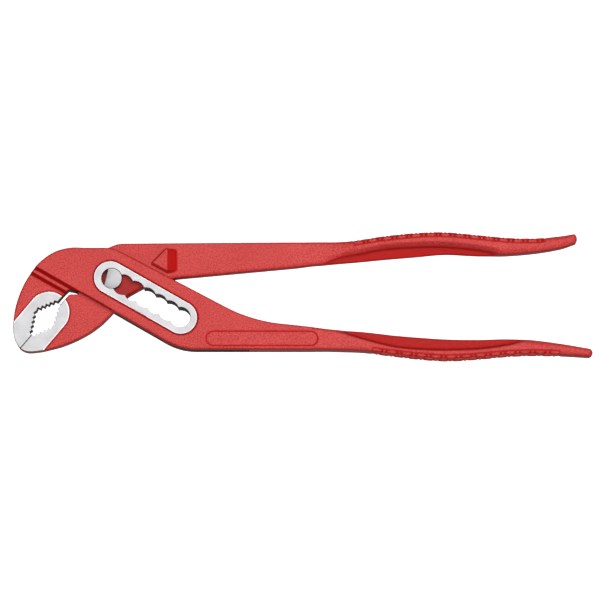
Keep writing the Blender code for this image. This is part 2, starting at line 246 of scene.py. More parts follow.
def smooth(rows, steps):
    # a Catmull-Rom curve through rows of numbers
    padded = [rows[0]] + list(rows) + [rows[-1]]
    curve = []
    for a, b, c, d in zip(padded, padded[1:], padded[2:], padded[3:]):
        for i in range(steps):
            t = i / steps
            curve.append(tuple(splineValue(p, q, r, s, t) for p, q, r, s in zip(a, b, c, d)))
    return curve + [tuple(rows[-1])]


def splineValue(p, q, r, s, t):
    return q + t * (r - p) / 2 + t * t * (2 * p - 5 * q + 4 * r - s) / 2 + t**3 * (3 * q - p - 3 * r + s) / 2


def densify(path, step=0.45):
    # splits every segment of an open path into steps no longer than this
    points = [tuple(path[0])]
    for (x0, y0), (x1, y1) in zip(path, path[1:]):
        length = hypot(x1 - x0, y1 - y0)
        if length < 1e-6:
            continue
        count = ceil(length / step)
        points += [(x0 + (x1 - x0) * i / count, y0 + (y1 - y0) * i / count) for i in range(1, count + 1)]
    return points


def stadium(start, end, radius, step=0.4):
    angle = degrees(atan2(end[1] - start[1], end[0] - start[0]))
    loop = arc(start, radius, angle + 90, angle + 270, step) + arc(end, radius, angle - 90, angle + 90, step)
    return densify(loop + loop[:1], step)[:-1]


def ramp(value, low, high):
    # 0 below low, 1 above high, and a smooth step between
    t = np.clip((value - low) / (high - low), 0, 1)
    return t * t * (3 - 2 * t)


def segmentDistance(points, path):
    # distance from each point to a path
    path = np.asarray(path, float)
    start, step = path[:-1], path[1:] - path[:-1]
    size = np.maximum((step * step).sum(1), 1e-12)
    nearest = np.empty(len(points))
    for first in range(0, len(points), 1500):
        gap = points[first:first + 1500, None, :] - start[None]
        t = np.clip((gap * step).sum(2) / size, 0, 1)
        gap -= t[..., None] * step
        nearest[first:first + 1500] = np.sqrt((gap * gap).sum(2).min(1))
    return nearest


def inside(points, loop):
    loop = np.asarray(loop, float)
    x0, y0 = loop.T
    x1, y1 = np.roll(loop, -1, 0).T
    found = np.zeros(len(points), bool)
    slope = (x1 - x0) / np.where(y1 == y0, 1e-12, y1 - y0)
    for first in range(0, len(points), 3000):
        px = points[first:first + 3000, 0:1]
        py = points[first:first + 3000, 1:2]
        crosses = ((y0 > py) != (y1 > py)) & (px < x0 + (py - y0) * slope)
        found[first:first + 3000] = crosses.sum(1) % 2 == 1
    return found


def loopArea(loop):
    x, y = np.asarray(loop, float).T
    return (x * np.roll(y, -1) - np.roll(x, -1) * y).sum() / 2


def inwardNormals(loop, solidLeft=True):
    loop = np.asarray(loop, float)
    chord = np.roll(loop, -1, 0) - np.roll(loop, 1, 0)
    chord /= np.maximum(np.linalg.norm(chord, axis=1), 1e-9)[:, None]
    left = np.stack([-chord[:, 1], chord[:, 0]], 1)
    return left if solidLeft else -left


def bent(depth, radius):
    # how far a rounded edge has fallen at this distance from its wall
    out = np.clip(radius - depth, 0, radius)
    return radius - np.sqrt(np.maximum(radius * radius - out * out, 0))


# Sizes of the head

jaws = {
    "angle": 50.0,                 # the line where the jaws meet
    "meet": (-41.3, -29.0),
    "gap": 0.3,
    "openingLength": 21.6,
    "upperApex": (11.2, 6.2),      # the opening's widest point: along the line, and off it
    "lowerApex": (10.2, 5.1),
    "upperChannel": 0.8,           # how far off the line each toothed edge ends
    "lowerChannel": 0.2,
    "teeth": 5,
    "toothDepth": 1.2,
    "tipLength": 9.3,
    "padCentre": (-32.6, -17.3),
    "padRadius": 10.75,
    "padHalf": 5.2,
    "padDip": 0.22,                # depth of the shallow groove at the pad's foot
    # painted shade in the groove at the pad's foot
    "paintedPadDipShade": 0.8,
    "padLines": (-0.9, -0.35, -0.15, -0.05, 0.05, 0.2, 0.5, 0.8, 1.1),   # rows of mesh along its edge
    "padReach": 30.0,              # how far its straight sides run on past the jaw's back
    "faceHalf": 5.0,
    "upperEdge": 0.2,              # rounding of the toothed edges
    "lowerEdge": 0.08,
    "toothShadeLine": 0.28,             # width of the line of painted shade beside the upper teeth, in the dark tooth steel
    "throat": [(-27.4, -12.4), (-22.3, -6.8), (-17.6, -7.2)],   # bare walls above the teeth
    "throatReach": 1.6,
}


def toothedSide(start, end, side):
    length = hypot(end[0] - start[0], end[1] - start[1])
    angle = degrees(atan2(end[1] - start[1], end[0] - start[0]))
    pitch = length / jaws["teeth"]
    points = []
    for i in range(jaws["teeth"]):
        points.append(along(start, angle, i * pitch))
        points.append(along(start, angle, (i + 0.5) * pitch, side * jaws["toothDepth"]))
    return points + [end]


def mouthEdge(side):
    # one jaw's edge from its tip to the top of the toothed opening; side is 1 on the upper jaw
    far, off = jaws["upperApex"] if side > 0 else jaws["lowerApex"]
    channel = jaws["upperChannel"] if side > 0 else jaws["lowerChannel"]
    start = along(jaws["meet"], jaws["angle"], 0, side * jaws["gap"] / 2)
    apex = along(jaws["meet"], jaws["angle"], far, side * off)
    end = along(jaws["meet"], jaws["angle"], jaws["openingLength"], side * channel)
    return [jawTip(side)] + toothedSide(start, apex, side) + toothedSide(apex, end, side)[1:]


def jawTip(side):
    return along(jaws["meet"], jaws["angle"], -jaws["tipLength"], side * jaws["gap"] / 2)


def padDistance(points):
    # distance from the middle line of the ground pad that both jaws share
    c, s = direction(jaws["angle"])
    dx = points[:, 0] - jaws["padCentre"][0]
    dy = points[:, 1] - jaws["padCentre"][1]
    back = np.minimum(dx * c + dy * s, 0)
    return np.hypot(dx - back * c, dy - back * s)


def onPad(points):
    return (padDistance(points) < jaws["padRadius"] + 0.02) & (points[:, 0] < 0)


def pastPad(points, onEdge, beyond):
    # a rounding that stays small where the ground pad meets the outline and grows beyond it
    gap = padDistance(points) - jaws["padRadius"]
    return np.interp(gap, (0.25, 2.75), (onEdge, beyond))


def padRows():
    rows = []
    angle, reach = jaws["angle"], jaws["padReach"]
    for gap in jaws["padLines"]:
        radius = jaws["padRadius"] + gap
        left = along(jaws["padCentre"], angle, -reach, radius)
        right = along(jaws["padCentre"], angle, -reach, -radius)
        rows += densify([left] + arc(jaws["padCentre"], radius, angle + 90, angle - 90) + [right], 0.4)
    return rows


def padHeight(points, face):
    # the face, the shallow dip at the pad's foot, and the pad itself
    gap = padDistance(points) - jaws["padRadius"]
    dip = jaws["padDip"] * ramp(gap, -0.05, 0.1) * (1 - ramp(gap, 0.25, 1.0))
    return face + (jaws["padHalf"] - face) * (1 - ramp(gap, -0.12, 0.08)) - dip


# Handles

lowerHandle = {
    "root": 106.0,
    "length": 142.8,
    "armHalf": 8.8,
    "web": 4.2,                    # half thickness of the web beside its flange
    "webSlope": 0.34,              # how much thinner it gets for each millimetre across
    "webCurve": (-1.0, 0.7),       # where the flange falls to the web, from the bead line
    # painted shade on the web, with the sheen taken out
    "paintedWebShade": 0.42,
    "flangeRounding": 2.5,
    "gripStart": 133.5,
    "gripEnd": 233.0,
    "stripWidth": 2.2,             # from the flange's outer wall
    "topRow": 0.9,                 # how far the top row has turned round the flange, in radians
    # share of the length, outer edge, inner edge, height of the web, flange over the arm
    "stations": [
        (0.0, -36.6, -25.7, 0.0, -0.2), (0.07, -36.9, -26.5, 0.6, -0.2), (0.17, -37.5, -27.3, 4.0, -0.1),
        (0.28, -39.4, -29.0, 6.2, 0.1), (0.38, -41.0, -30.2, 6.4, 0.2), (0.48, -41.8, -31.1, 5.8, 0.2),
        (0.59, -40.9, -31.3, 5.0, 0.0), (0.69, -39.6, -31.0, 3.4, -0.3), (0.785, -39.1, -31.8, 0.0, -0.8),
        (0.895, -39.5, -33.9, 0.0, -1.4), (0.985, -40.3, -36.1, 0.0, -2.2),
    ],
}
upperHandle = {
    "root": 98.0,
    "length": 143.0,
    "armHalf": 5.0,
    "web": 3.6,
    "webSlope": 0.44,
    "webCurve": (-2.4, 0.9),
    # painted shade on the web, with the sheen taken out
    "paintedWebShade": 0.5,
    "flangeRounding": 3.0,
    "gripStart": 124.0,
    "gripEnd": 225.5,
    "stripWidth": 2.6,
    "topRow": 1.0,
    "stations": [
        (0.0, 19.3, 6.9, 0.0, -0.2), (0.07, 19.4, 7.6, 0.6, -0.1), (0.14, 19.5, 8.4, 3.2, 0.6),
        (0.21, 20.4, 9.2, 4.2, 1.8), (0.3, 22.3, 10.4, 5.4, 2.8), (0.415, 23.9, 11.8, 5.2, 3.2),
        (0.52, 24.3, 13.1, 4.0, 3.3), (0.645, 22.8, 12.4, 3.0, 3.0), (0.755, 21.4, 12.8, 0.0, 2.6),
        (0.855, 21.3, 14.1, 0.0, 2.0), (0.94, 22.5, 16.2, 0.0, 1.4), (0.988, 23.6, 18.5, 0.0, 0.8),
    ],
}
grip = {
    "recess": 0.4,                 # depth of the textured strip
    "paintedStripShade": 0.55,            # painted shade: how much darker the strip is painted
    "paintedCornerShade": 0.25,           # and painted shade in the corner between flange and web
    "padPitch": 7.45,
    "padLength": 5.2,
    "padWidth": 1.7,
    "padHeight": 0.45,             # from the bottom of the recess
    "padLift": 0.35,               # the top rows face further up than the flange does, in radians
    "studSize": 1.3,
    "padTop": 0.82,                # share of each pad's width that its flat top keeps
    "padSides": 6,
    "studSides": 8,
    "rows": 7,                     # round the flange, the middle one on its wall
    "endMargin": 3.5,              # from the strip's ends to the first and last pads
}
tipFlat = 0.55                     # share of the half thickness left at a handle's end


class Handle:
    # the curves and thicknesses of one handle, worked out from its stations
    def __init__(self, sizes):
        self.sizes = sizes
        rows = smooth([(sizes["root"] + share * sizes["length"], outer, inner, web, sizes["armHalf"] + wider)
                       for share, outer, inner, web, wider in sizes["stations"]], 12)
        self.rows = np.array(rows)
        self.x = self.rows[:, 0]
        self.side = 1 if self.rows[0, 1] > self.rows[0, 2] else -1   # +1 where the flange is above the web
        self.tip = sizes["root"] + sizes["length"] - self.x[-1]

    def edges(self, armEnd):
        # outer edge and inner edge past the arm, and the rounded end between them from inner to outer
        xs = np.append(np.arange(armEnd + 8, self.x[-1], 0.45), self.x[-1])
        outer = list(zip(xs, self.at(xs, 1) - self.side * grip["recess"] * self.gripShare(xs)))
        inner = list(zip(xs, self.at(xs, 2)))
        x, top, bottom = self.rows[-1, :3]
        middle, half = (top + bottom) / 2, (top - bottom) / 2
        end = [(x + self.tip * sin(a), middle - half * cos(a)) for a in np.linspace(0, pi, 30)]
        return outer, inner, end

    def at(self, x, column):
        return np.interp(x, self.x, self.rows[:, column])

    def halfThickness(self, x):
        start = self.sizes["root"] - 5
        half = np.interp(x, np.append(start, self.x), np.append(self.sizes["armHalf"], self.rows[:, 4]))
        past = np.clip((x - self.x[-1]) / self.tip, 0, 1)
        return half * (tipFlat + (1 - tipFlat) * np.sqrt(1 - past * past))

    def beadLine(self, x):
        # where the flange ends and the web starts
        return self.at(x, 2) + self.side * np.maximum(self.at(x, 3), 0)

    def recessShare(self, x):
        share = np.clip(self.at(x, 3) / 2.2, 0, 1)
        return share * share * (3 - 2 * share)

    def outerRounding(self, x):
        grown = ramp(x, self.sizes["root"] + 4, self.sizes["root"] + 30)
        limit = 0.48 * np.abs(self.at(x, 1) - self.at(x, 2))
        return np.minimum(1.5 + (self.sizes["flangeRounding"] - 1.5) * grown, limit)

    def innerRounding(self, x):
        bare = 1 - self.recessShare(x)
        near = ramp(x, self.sizes["root"], self.sizes["root"] + 40)
        limit = 0.42 * np.abs(self.at(x, 1) - self.at(x, 2))
        return np.minimum(0.8 + (1.0 + 1.8 * near) * bare, limit)

    def gripShare(self, x):
        start, end = self.sizes["gripStart"], self.sizes["gripEnd"]
        return ramp(x, start, start + 2.5) * (1 - ramp(x, end - 2.5, end))

    def outerDrop(self, points, depth):
        # the flange's outer rounding, with the textured strip sunk into it
        sunk = grip["recess"] * self.gripShare(points[:, 0])
        radius = self.outerRounding(points[:, 0])
        across = depth + sunk
        plain = bent(across, radius)
        low = sunk + bent(depth, radius - sunk)
        return low + (plain - low) * ramp(across, self.sizes["stripWidth"], self.sizes["stripWidth"] + 0.35)

    def paintedStripShade(self, points):
        # painted shade: the strip between the pads is painted a little darker
        across = (self.at(points[:, 0], 1) - points[:, 1]) * self.side
        near = 1 - ramp(across, self.sizes["stripWidth"] - 0.1, self.sizes["stripWidth"] + 0.2)
        return grip["paintedStripShade"] * near * self.gripShare(points[:, 0])

    def paintedWebTone(self, points):
        # painted shade: the web is painted darker than the flange, most of all in the corner beside it
        across = (self.beadLine(points[:, 0]) - points[:, 1]) * self.side
        corner = grip["paintedCornerShade"] * np.exp(-((across - 0.5) / 0.7) ** 2)
        tone = (self.sizes["paintedWebShade"] * ramp(across, -0.8, 0.6) + corner) * self.recessShare(points[:, 0])
        return np.where(points[:, 0] > self.sizes["root"] - 4, tone, 0)

    # painted shade of the strip and the web
    def shade(self, points):
        return self.paintedStripShade(points) + self.paintedWebTone(points)

    def stripRows(self):
        xs = np.arange(self.sizes["gripStart"] - 1, self.sizes["gripEnd"] + 1, 0.45)
        edge = self.at(xs, 1)
        tilt = np.gradient(edge, xs)
        size = np.hypot(1, tilt)
        points = []
        for depth in self.sizes["stripWidth"] + np.array([-0.12, 0.02, 0.12, 0.22, 0.34, 0.5]):
            points += list(zip(xs + self.side * depth * tilt / size, edge - self.side * depth / size))
        return points

    def webDrop(self, points):
        x, y = points.T
        across = (self.beadLine(x) - y) * self.side          # positive on the web
        half = self.halfThickness(x)
        web = self.sizes["web"] - self.sizes["webSlope"] * np.clip(across, 0, 8)
        drop = np.maximum(half - web, 0) * self.recessShare(x) * ramp(across, *self.sizes["webCurve"])
        return np.where(x > self.sizes["root"] - 4, drop, 0)

    def webRows(self):
        points = []
        xs = np.arange(self.sizes["root"] - 3, self.sizes["root"] + self.sizes["length"] * 0.8, 0.5)
        low, high = self.sizes["webCurve"]
        for gap in np.arange(low - 0.3, high + 0.5, 0.21):
            points += list(zip(xs, self.beadLine(xs) - self.side * gap))
        return points


# A forging drawn as a height over its middle plane, the same above and below

holeRounding = 0.14
paintedOutlineShade = 0.66                    # painted shade: the colour is darkened along the outline, where the roundings turn away from the light
edgeTurns = (12, 24, 36, 48, 60, 75, 90, 100)   # rows of mesh round an edge, in degrees of its rounding
holeTurns = (45, 70, 90, 100)
smoothAngle = 34                       # sharper edges than this many degrees stay crisp
cheekWall = 0.4                        # least wall left between the slit and the face above it


def closed(loop):
    return np.vstack([loop, loop[:1]])


class Cloud:
    # points that keep their distance from each other, filed by square cells
    def __init__(self, cell=0.25):
        self.cell = cell
        self.cells = {}
        self.points = []

    def isFree(self, x, y, gap):
        reach = ceil(gap / self.cell)
        i, j = int(x // self.cell), int(y // self.cell)
        for m in range(i - reach, i + reach + 1):
            for n in range(j - reach, j + reach + 1):
                for px, py in self.cells.get((m, n), ()):
                    if (px - x) ** 2 + (py - y) ** 2 < gap * gap:
                        return False
        return True

    def add(self, points, gap):
        for x, y in np.asarray(points, float).tolist():
            if self.isFree(x, y, gap):
                self.cells.setdefault((int(x // self.cell), int(y // self.cell)), []).append((x, y))
                self.points.append((x, y))


def hexGrid(low, high, step):
    points = []
    for j, y in enumerate(np.arange(low[1], high[1], step * 0.866)):
        points += [(x, y) for x in np.arange(low[0] + (j % 2) * step / 2, high[0], step)]
    return np.array(points)


def run(path, rounding, drop=None):
    # one stretch of an outline, with its edge rounding as a function of place
    if not callable(rounding):
        value = rounding
        rounding = lambda points: np.full(len(points), value)
    drop = drop or (lambda points, depth: bent(depth, rounding(points)))
    return {"path": densify(path), "rounding": rounding, "drop": drop}


def joinRuns(runs):
    # the closed outline, anticlockwise, and the rounding at each of its points
    points = np.vstack([r["path"][:-1] for r in runs])
    radii = np.concatenate([r["rounding"](np.array(r["path"][:-1])) for r in runs])
    return (points, radii) if loopArea(points) > 0 else (points[::-1], radii[::-1])


def roundingRows(loop, radii, angles, solidLeft):
    # rows of points beside a loop, one for each angle through which its rounding has turned
    normals = inwardNormals(loop, solidLeft)
    rows = []
    for angle in angles:
        depth = radii * (1 - cos(radians(min(angle, 90)))) + (0.1 * radii + 0.06 if angle > 90 else 0)
        points = loop + normals * depth[:, None]
        rows.append(points[segmentDistance(points, closed(loop)) > 0.93 * depth])
    return rows


def layPoints(forging, outline, radii):
    # every point of the flat layout that isn't on an outline, densest where the surface bends
    cloud = Cloud()
    for points in roundingRows(outline, radii, edgeTurns, True):
        cloud.add(points, 0.05)
    for hole in forging["holes"]:
        hole = np.array(hole)
        radius = np.full(len(hole), holeRounding)
        for points in roundingRows(hole, radius, holeTurns, loopArea(hole) < 0):
            cloud.add(points, 0.05)
    for points in forging["features"]:
        cloud.add(points, 0.11)
    cloud.add(hexGrid(outline.min(0), outline.max(0), forging["gridStep"]), forging["gridStep"] * 0.55)
    cloud = np.array(cloud.points)
    cloud = cloud[inside(cloud, outline)]
    cloud = cloud[segmentDistance(cloud, closed(outline)) > 0.02]
    for hole in forging["holes"]:
        cloud = cloud[~inside(cloud, hole)]
        cloud = cloud[segmentDistance(cloud, closed(np.array(hole))) > 0.03]
    for path in forging["slitEnds"]:
        cloud = cloud[segmentDistance(cloud, path) > 0.12]
    return cloud


def triangulate(forging, outline, radii):
    loops = [outline] + [np.array(hole) for hole in forging["holes"]]
    coords, edges = [], []
    for loop in loops:
        first = len(coords)
        coords += [tuple(p) for p in loop]
        edges += [(first + i, first + (i + 1) % len(loop)) for i in range(len(loop))]
    for path in forging["slitEnds"]:
        first = len(coords)
        coords += path
        edges += [(first + i, first + i + 1) for i in range(len(path) - 1)]
    coords += [tuple(p) for p in layPoints(forging, outline, radii)]
    points, _, faces, *_ = delaunay_2d_cdt([Vector(p) for p in coords], edges, [], 0, 1e-4, False)
    points = np.array([tuple(p) for p in points])
    faces = np.array(faces)
    a, b, c = points[faces[:, 0]], points[faces[:, 1]], points[faces[:, 2]]
    area = (b[:, 0] - a[:, 0]) * (c[:, 1] - a[:, 1]) - (b[:, 1] - a[:, 1]) * (c[:, 0] - a[:, 0])
    faces[area < 0] = faces[area < 0][:, ::-1]
    middle = (a + b + c) / 3
    keep = inside(middle, outline) & (np.abs(area) > 1e-9)
    for hole in forging["holes"]:
        keep &= ~inside(middle, hole)
    return points, faces[keep], middle[keep]


def forgingHeight(forging, points):
    height = forging["height"](points)
    fall = np.zeros(len(points))
    for part in forging["runs"]:
        fall = np.maximum(fall, part["drop"](points, segmentDistance(points, part["path"])))
    for hole in forging["holes"]:
        fall = np.maximum(fall, bent(segmentDistance(points, closed(np.array(hole))), holeRounding))
    return height - fall


def wallFaces(edge, layers, inSlit):
    # the walls under one border edge; layers gives each corner's vertices by level
    a, b = edge
    top, bottom, upper, lower = layers
    if inSlit:
        return [(top[a], upper[a], upper[b], top[b]), (lower[a], bottom[a], bottom[b], lower[b])]
    left = [n for n in (upper[a], lower[a]) if n >= 0]
    right = [n for n in (lower[b], upper[b]) if n >= 0]
    return [(top[a], *left, bottom[a], bottom[b], *right, top[b])]


def levels(forging, points, slitFaces):
    # every vertex, and its numbers by level: top, bottom, and the slit's two cheeks
    count = len(points)
    height = forgingHeight(forging, points)
    cheeks = np.unique(slitFaces)
    if len(cheeks):
        height[cheeks] = np.maximum(height[cheeks], forging["slitHalf"] + cheekWall)
    upper, lower = np.full(count, -1), np.full(count, -1)
    upper[cheeks] = 2 * count + np.arange(len(cheeks))
    lower[cheeks] = 2 * count + len(cheeks) + np.arange(len(cheeks))
    cheekHeight = np.full(len(cheeks), forging["slitHalf"])
    places = np.vstack([np.column_stack([points, height]), np.column_stack([points, -height]),
                        np.column_stack([points[cheeks], cheekHeight]),
                        np.column_stack([points[cheeks], -cheekHeight])])
    return places, (np.arange(count), np.arange(count) + count, upper, lower)


def skinFaces(forging, faces, middle, inSlit, layers):
    # the two faces of the forging and the two cheeks of its slit, with the finish of each polygon
    top, bottom, upper, lower = layers
    polygons = np.vstack([top[faces], bottom[faces[:, ::-1]],
                          upper[faces[inSlit]][:, ::-1], lower[faces[inSlit]]])
    finishes = forging["finish"](middle).tolist() * 2 + [forging["slitFinish"]] * (2 * int(inSlit.sum()))
    return [tuple(polygon) for polygon in polygons.tolist()], finishes


def sideFaces(forging, points, faces, inSlit, layers):
    # an edge of one triangle only is the border; one between the slit and the rest is the slit's end
    layers = tuple(layer.tolist() for layer in layers)
    polygons, finishes = [], []
    owner = {}
    for number, (a, b, c) in enumerate(faces.tolist()):
        owner[(a, b)], owner[(b, c)], owner[(c, a)] = number, number, number
    border = np.array([edge for edge in owner if edge[::-1] not in owner])
    kinds = forging["wallFinish"]((points[border[:, 0]] + points[border[:, 1]]) / 2).tolist()
    for (a, b), kind in zip(border.tolist(), kinds):
        walls = wallFaces((a, b), layers, inSlit[owner[(a, b)]])
        polygons += walls
        finishes += [kind] * len(walls)
    for (a, b), number in owner.items():
        if (b, a) in owner and inSlit[owner[(b, a)]] and not inSlit[number]:
            polygons.append((layers[2][a], layers[3][a], layers[3][b], layers[2][b]))
            finishes.append(forging["slitFinish"])
    return polygons, finishes


def addShades(mesh, forging, points, outline):
    # how much painted shade each vertex gets (in grooves, corners, recesses, on slopes and along the
    # outline) and how much painted highlight along the bare edges, for the finishes to read
    # painted shade along the outline
    edge = paintedOutlineShade * (1 - ramp(segmentDistance(points, closed(outline)), 0.05, 0.55))
    paintedShade = np.maximum(forging["paintedShade"](points), edge)
    for label, share in (("paintedShade", paintedShade), ("rim", forging["rim"](points))):
        both = np.concatenate([share, share, np.zeros(len(mesh.vertices) - 2 * len(share))])
        mesh.attributes.new(label, "FLOAT", "POINT").data.foreach_set("value", both.astype(np.float32))


def raiseForging(name, forging):
    outline, radii = joinRuns(forging["runs"])
    points, faces, middle = triangulate(forging, outline, radii)
    used = np.unique(faces)
    renumber = np.full(len(points), -1)
    renumber[used] = np.arange(len(used))
    points, faces = points[used], renumber[faces]
    inSlit = inside(middle, forging["slit"]) if forging["slit"] else np.zeros(len(faces), bool)
    places, layers = levels(forging, points, faces[inSlit])
    skin, skinFinishes = skinFaces(forging, faces, middle, inSlit, layers)
    sides, sideFinishes = sideFaces(forging, points, faces, inSlit, layers)

    mesh = bpy.data.meshes.new(name)
    mesh.from_pydata((places * mm + np.array(pinAxis)).tolist(), [], skin + sides)
    mesh.polygons.foreach_set("material_index", skinFinishes + sideFinishes)
    addShades(mesh, forging, points, outline)
    thing = bpy.data.objects.new(name, mesh)
    bpy.context.scene.collection.objects.link(thing)
    softenShading(mesh, smoothAngle)
    print(name, len(mesh.vertices), "vertices,", len(mesh.polygons), "faces")
    return thing


def softenShading(mesh, angle):
    work = bmesh.new()
    work.from_mesh(mesh)
    limit = radians(angle)
    for face in work.faces:
        face.smooth = True
    for edge in work.edges:
        edge.smooth = len(edge.link_faces) == 2 and edge.calc_face_angle(0) < limit
    work.to_mesh(mesh)
    work.free()


# Slotted arm: lower handle, strap with the slot, and upper jaw

redFinish, steelFinish, darkToothAndShadeFinish = 0, 1, 2
slotted = {
    "strapHalf": 8.8,
    "landHalf": 6.8,
    "stepOne": (13.7, 15.6),       # the sloped steps beside the jaw, from the slot's middle line
    "stepTwo": (17.0, 18.9),
    # painted shade on the sloped steps beside the jaw
    "paintedStepShade": 0.68,
    "strapLower": 14.3,
    "slotRadius": 5.3,
    "positions": 7,
    "ringRadius": 8.5,
    "ringNear": 0.8,               # how far the ring's middle line runs past the slot's at each end
    "ringFar": 0.4,
    "ringHeight": 0.4,
    "ringDip": 0.42,               # groove around the ring's foot
    "slitHalf": 5.5,
    "slitJawEnd": -19.0,
    "slitFoot": (70.5, -38.3),
    "slitHead": (81.0, -13.5),
    "armEnd": 104.0,
    "lowerEdge": -36.8,
    "panelStart": (52.6, -31.15),
    "panelEnd": (102.8, -31.15),
    "panelRadius": 3.7,
    "panelDepth": 0.42,
    "panelGroove": (0.26, 0.34),   # depth and width of the line around the panel
    # painted shade in the line around the panel
    "paintedPanelShade": 0.5,
    "upperRounding": 1.1,
    "lowerRounding": 1.3,
    "padRounding": 0.3,            # where the ground pad runs out over the jaw's back
    # rows of mesh beside the ring, the panel and the painted shade line
    "ringLines": (-0.6, -0.42, -0.2, -0.1, -0.03, 0.03, 0.12, 0.35, 0.58, 0.82, 1.05, 1.3),
    "panelLines": (-0.9, -0.5, -0.3, -0.15, 0.0, 0.15, 0.3, 0.5, 0.8),
    "toothShadeLines": (-0.13, 0.0, 0.14),                    # beside the painted shade line's own edge
}
slotEnd = along((0, 0), slotAngle, slotTravel)


def belowSlot(points):
    # how far each point lies below the slot's middle line
    c, s = direction(slotAngle)
    return points[:, 0] * s - points[:, 1] * c


def strapLine(x):
    foot = along((0, 0), slotAngle, 0, -slotted["strapLower"])
    return (x, foot[1] + (x - foot[0]) * tan(radians(slotAngle)))


def scallops():
    # the slot: a row of overlapping circles that leave a cusp between each pair
    last = slotted["positions"] - 1
    pitch, radius = slotTravel / last, slotted["slotRadius"]
    lean = degrees(atan2(pitch / 2, sqrt(radius**2 - pitch**2 / 4)))
    centres = [along((0, 0), slotAngle, i * pitch) for i in range(last + 1)]
    points = arc(centres[0], radius, slotAngle + 270 + lean, slotAngle + 90 - lean, 0.3)
    for centre in centres[1:last]:
        points += arc(centre, radius, slotAngle + 90 + lean, slotAngle + 90 - lean, 0.3)[1:]
    points += arc(centres[last], radius, slotAngle + 90 + lean, slotAngle - 90 - lean, 0.3)[1:]
    for centre in centres[last - 1:0:-1]:
        points += arc(centre, radius, slotAngle - 90 + lean, slotAngle - 90 - lean, 0.3)[1:]
    return points[:-1]


def ringLine():
    return along((0, 0), slotAngle, -slotted["ringNear"]), along(slotEnd, slotAngle, slotted["ringFar"])


def ringDistance(points):
    return segmentDistance(points, ringLine())


def panelDistance(points):
    return segmentDistance(points, [slotted["panelStart"], slotted["panelEnd"]]) - slotted["panelRadius"]


def slottedRuns(handle):
    back = smooth([jawTip(1), (-50.0, -31.6), (-51.0, -24.4), (-49.6, -13.5), (-45.2, -2.0), (-38.8, 7.0),
                   (-30.6, 13.4), (-22.0, 16.0), (-14.0, 16.0)], 12)
    top = rounded([(-14.0, 16.0), (0.6, 16.0, 18.0), (72.5, -21.9, 80.0), (112.0, -25.9)])
    top = [p for p in top if p[0] < slotted["armEnd"]] + [(slotted["armEnd"], -25.18)]
    outer, inner, end = handle.edges(slotted["armEnd"])
    corner = strapLine(35.3)
    mouth = mouthEdge(1)
    bottom = rounded([(slotted["armEnd"], slotted["lowerEdge"]), (corner[0], slotted["lowerEdge"], 32.0),
                      strapLine(-17.0), (-22.5, -5.6, 1.2), mouth[-1]])

    def backRounding(points):
        return pastPad(points, slotted["padRounding"], slotted["upperRounding"])

    def lowerRounding(points):
        toHandle = handle.outerRounding(points[:, 0])
        strap = np.interp(points[:, 0], (-22, -12), (0.5, slotted["lowerRounding"]))
        return np.where(points[:, 0] > handle.sizes["root"], toHandle, strap)

    def outerRounding(points):
        return handle.outerRounding(points[:, 0])

    def innerRounding(points):
        return handle.innerRounding(points[:, 0])

    return [
        run(back + top[1:], backRounding),
        run([top[-1]] + inner, innerRounding),
        run(end, outerRounding),
        run(outer[::-1] + [bottom[0]], outerRounding, handle.outerDrop),
        run(bottom, lowerRounding),
        run(mouth[::-1], jaws["upperEdge"]),
    ]


def slottedHeight(handle, points):
    below = belowSlot(points)
    half = handle.halfThickness(points[:, 0])
    strap, land, face = slotted["strapHalf"], slotted["landHalf"], jaws["faceHalf"]
    height = half - (strap - land) * ramp(below, *slotted["stepOne"]) * onJaw(points)
    height -= (land - face) * ramp(below, *slotted["stepTwo"]) * onJaw(points)
    height += (padHeight(points, face) - face) * ramp(below, 17.5, 19.0) * onJaw(points)
    ring = ringDistance(points) - slotted["ringRadius"]
    height += slotted["ringHeight"] * (1 - ramp(ring, -0.1, 0.08))
    height -= slotted["ringDip"] * ramp(ring, -0.08, 0.12) * (1 - ramp(ring, 0.35, 1.05))
    panel = panelDistance(points)
    depth, width = slotted["panelGroove"]
    height -= slotted["panelDepth"] * (1 - ramp(panel, -0.25, 0.2)) + depth * np.exp(-(panel / width) ** 2)
    return height - handle.webDrop(points)


def onJaw(points):
    return np.where(points[:, 0] < 0, 1.0, 0.0)


def slottedFeatures(handle):
    rings, panels, steps = [], [], []
    for gap in slotted["ringLines"]:
        rings += stadium(*ringLine(), slotted["ringRadius"] + gap)
    for gap in slotted["panelLines"]:
        panels += stadium(slotted["panelStart"], slotted["panelEnd"], slotted["panelRadius"] + gap)
    for below in np.arange(slotted["stepOne"][0] - 0.2, slotted["stepTwo"][1] + 0.4, 0.2):
        foot = along((0, 0), slotAngle, 0, -below)
        steps += densify([along(foot, slotAngle, -62), along(foot, slotAngle, -8)], 0.5)
    teeth = densify(mouthEdge(1)[1:], 0.3)
    normals = inwardNormals(teeth)
    toothShadeRows = []
    for gap in slotted["toothShadeLines"]:
        toothShadeRows += [tuple(p) for p in teeth + (jaws["toothShadeLine"] + gap) * normals]
    return [rings, padRows(), steps, panels, toothShadeRows, handle.stripRows(), handle.webRows()]


def slottedFinish(points):
    onRing = ringDistance(points) < slotted["ringRadius"] + 0.02
    pastSteps = belowSlot(points) > slotted["stepTwo"][1] - 0.4
    finish = np.where(onRing | (onPad(points) & pastSteps), steelFinish, redFinish)
    # painted shade: a dark line beside the upper teeth
    return np.where(segmentDistance(points, mouthEdge(1)[1:]) < jaws["toothShadeLine"], darkToothAndShadeFinish, finish)


def slottedWall(points):
    inSlot = ringDistance(points) < slotted["ringRadius"] - 2
    # painted shade: the slot's walls take the dark tooth steel
    return np.where(inSlot | onMouth(points), darkToothAndShadeFinish, redFinish)


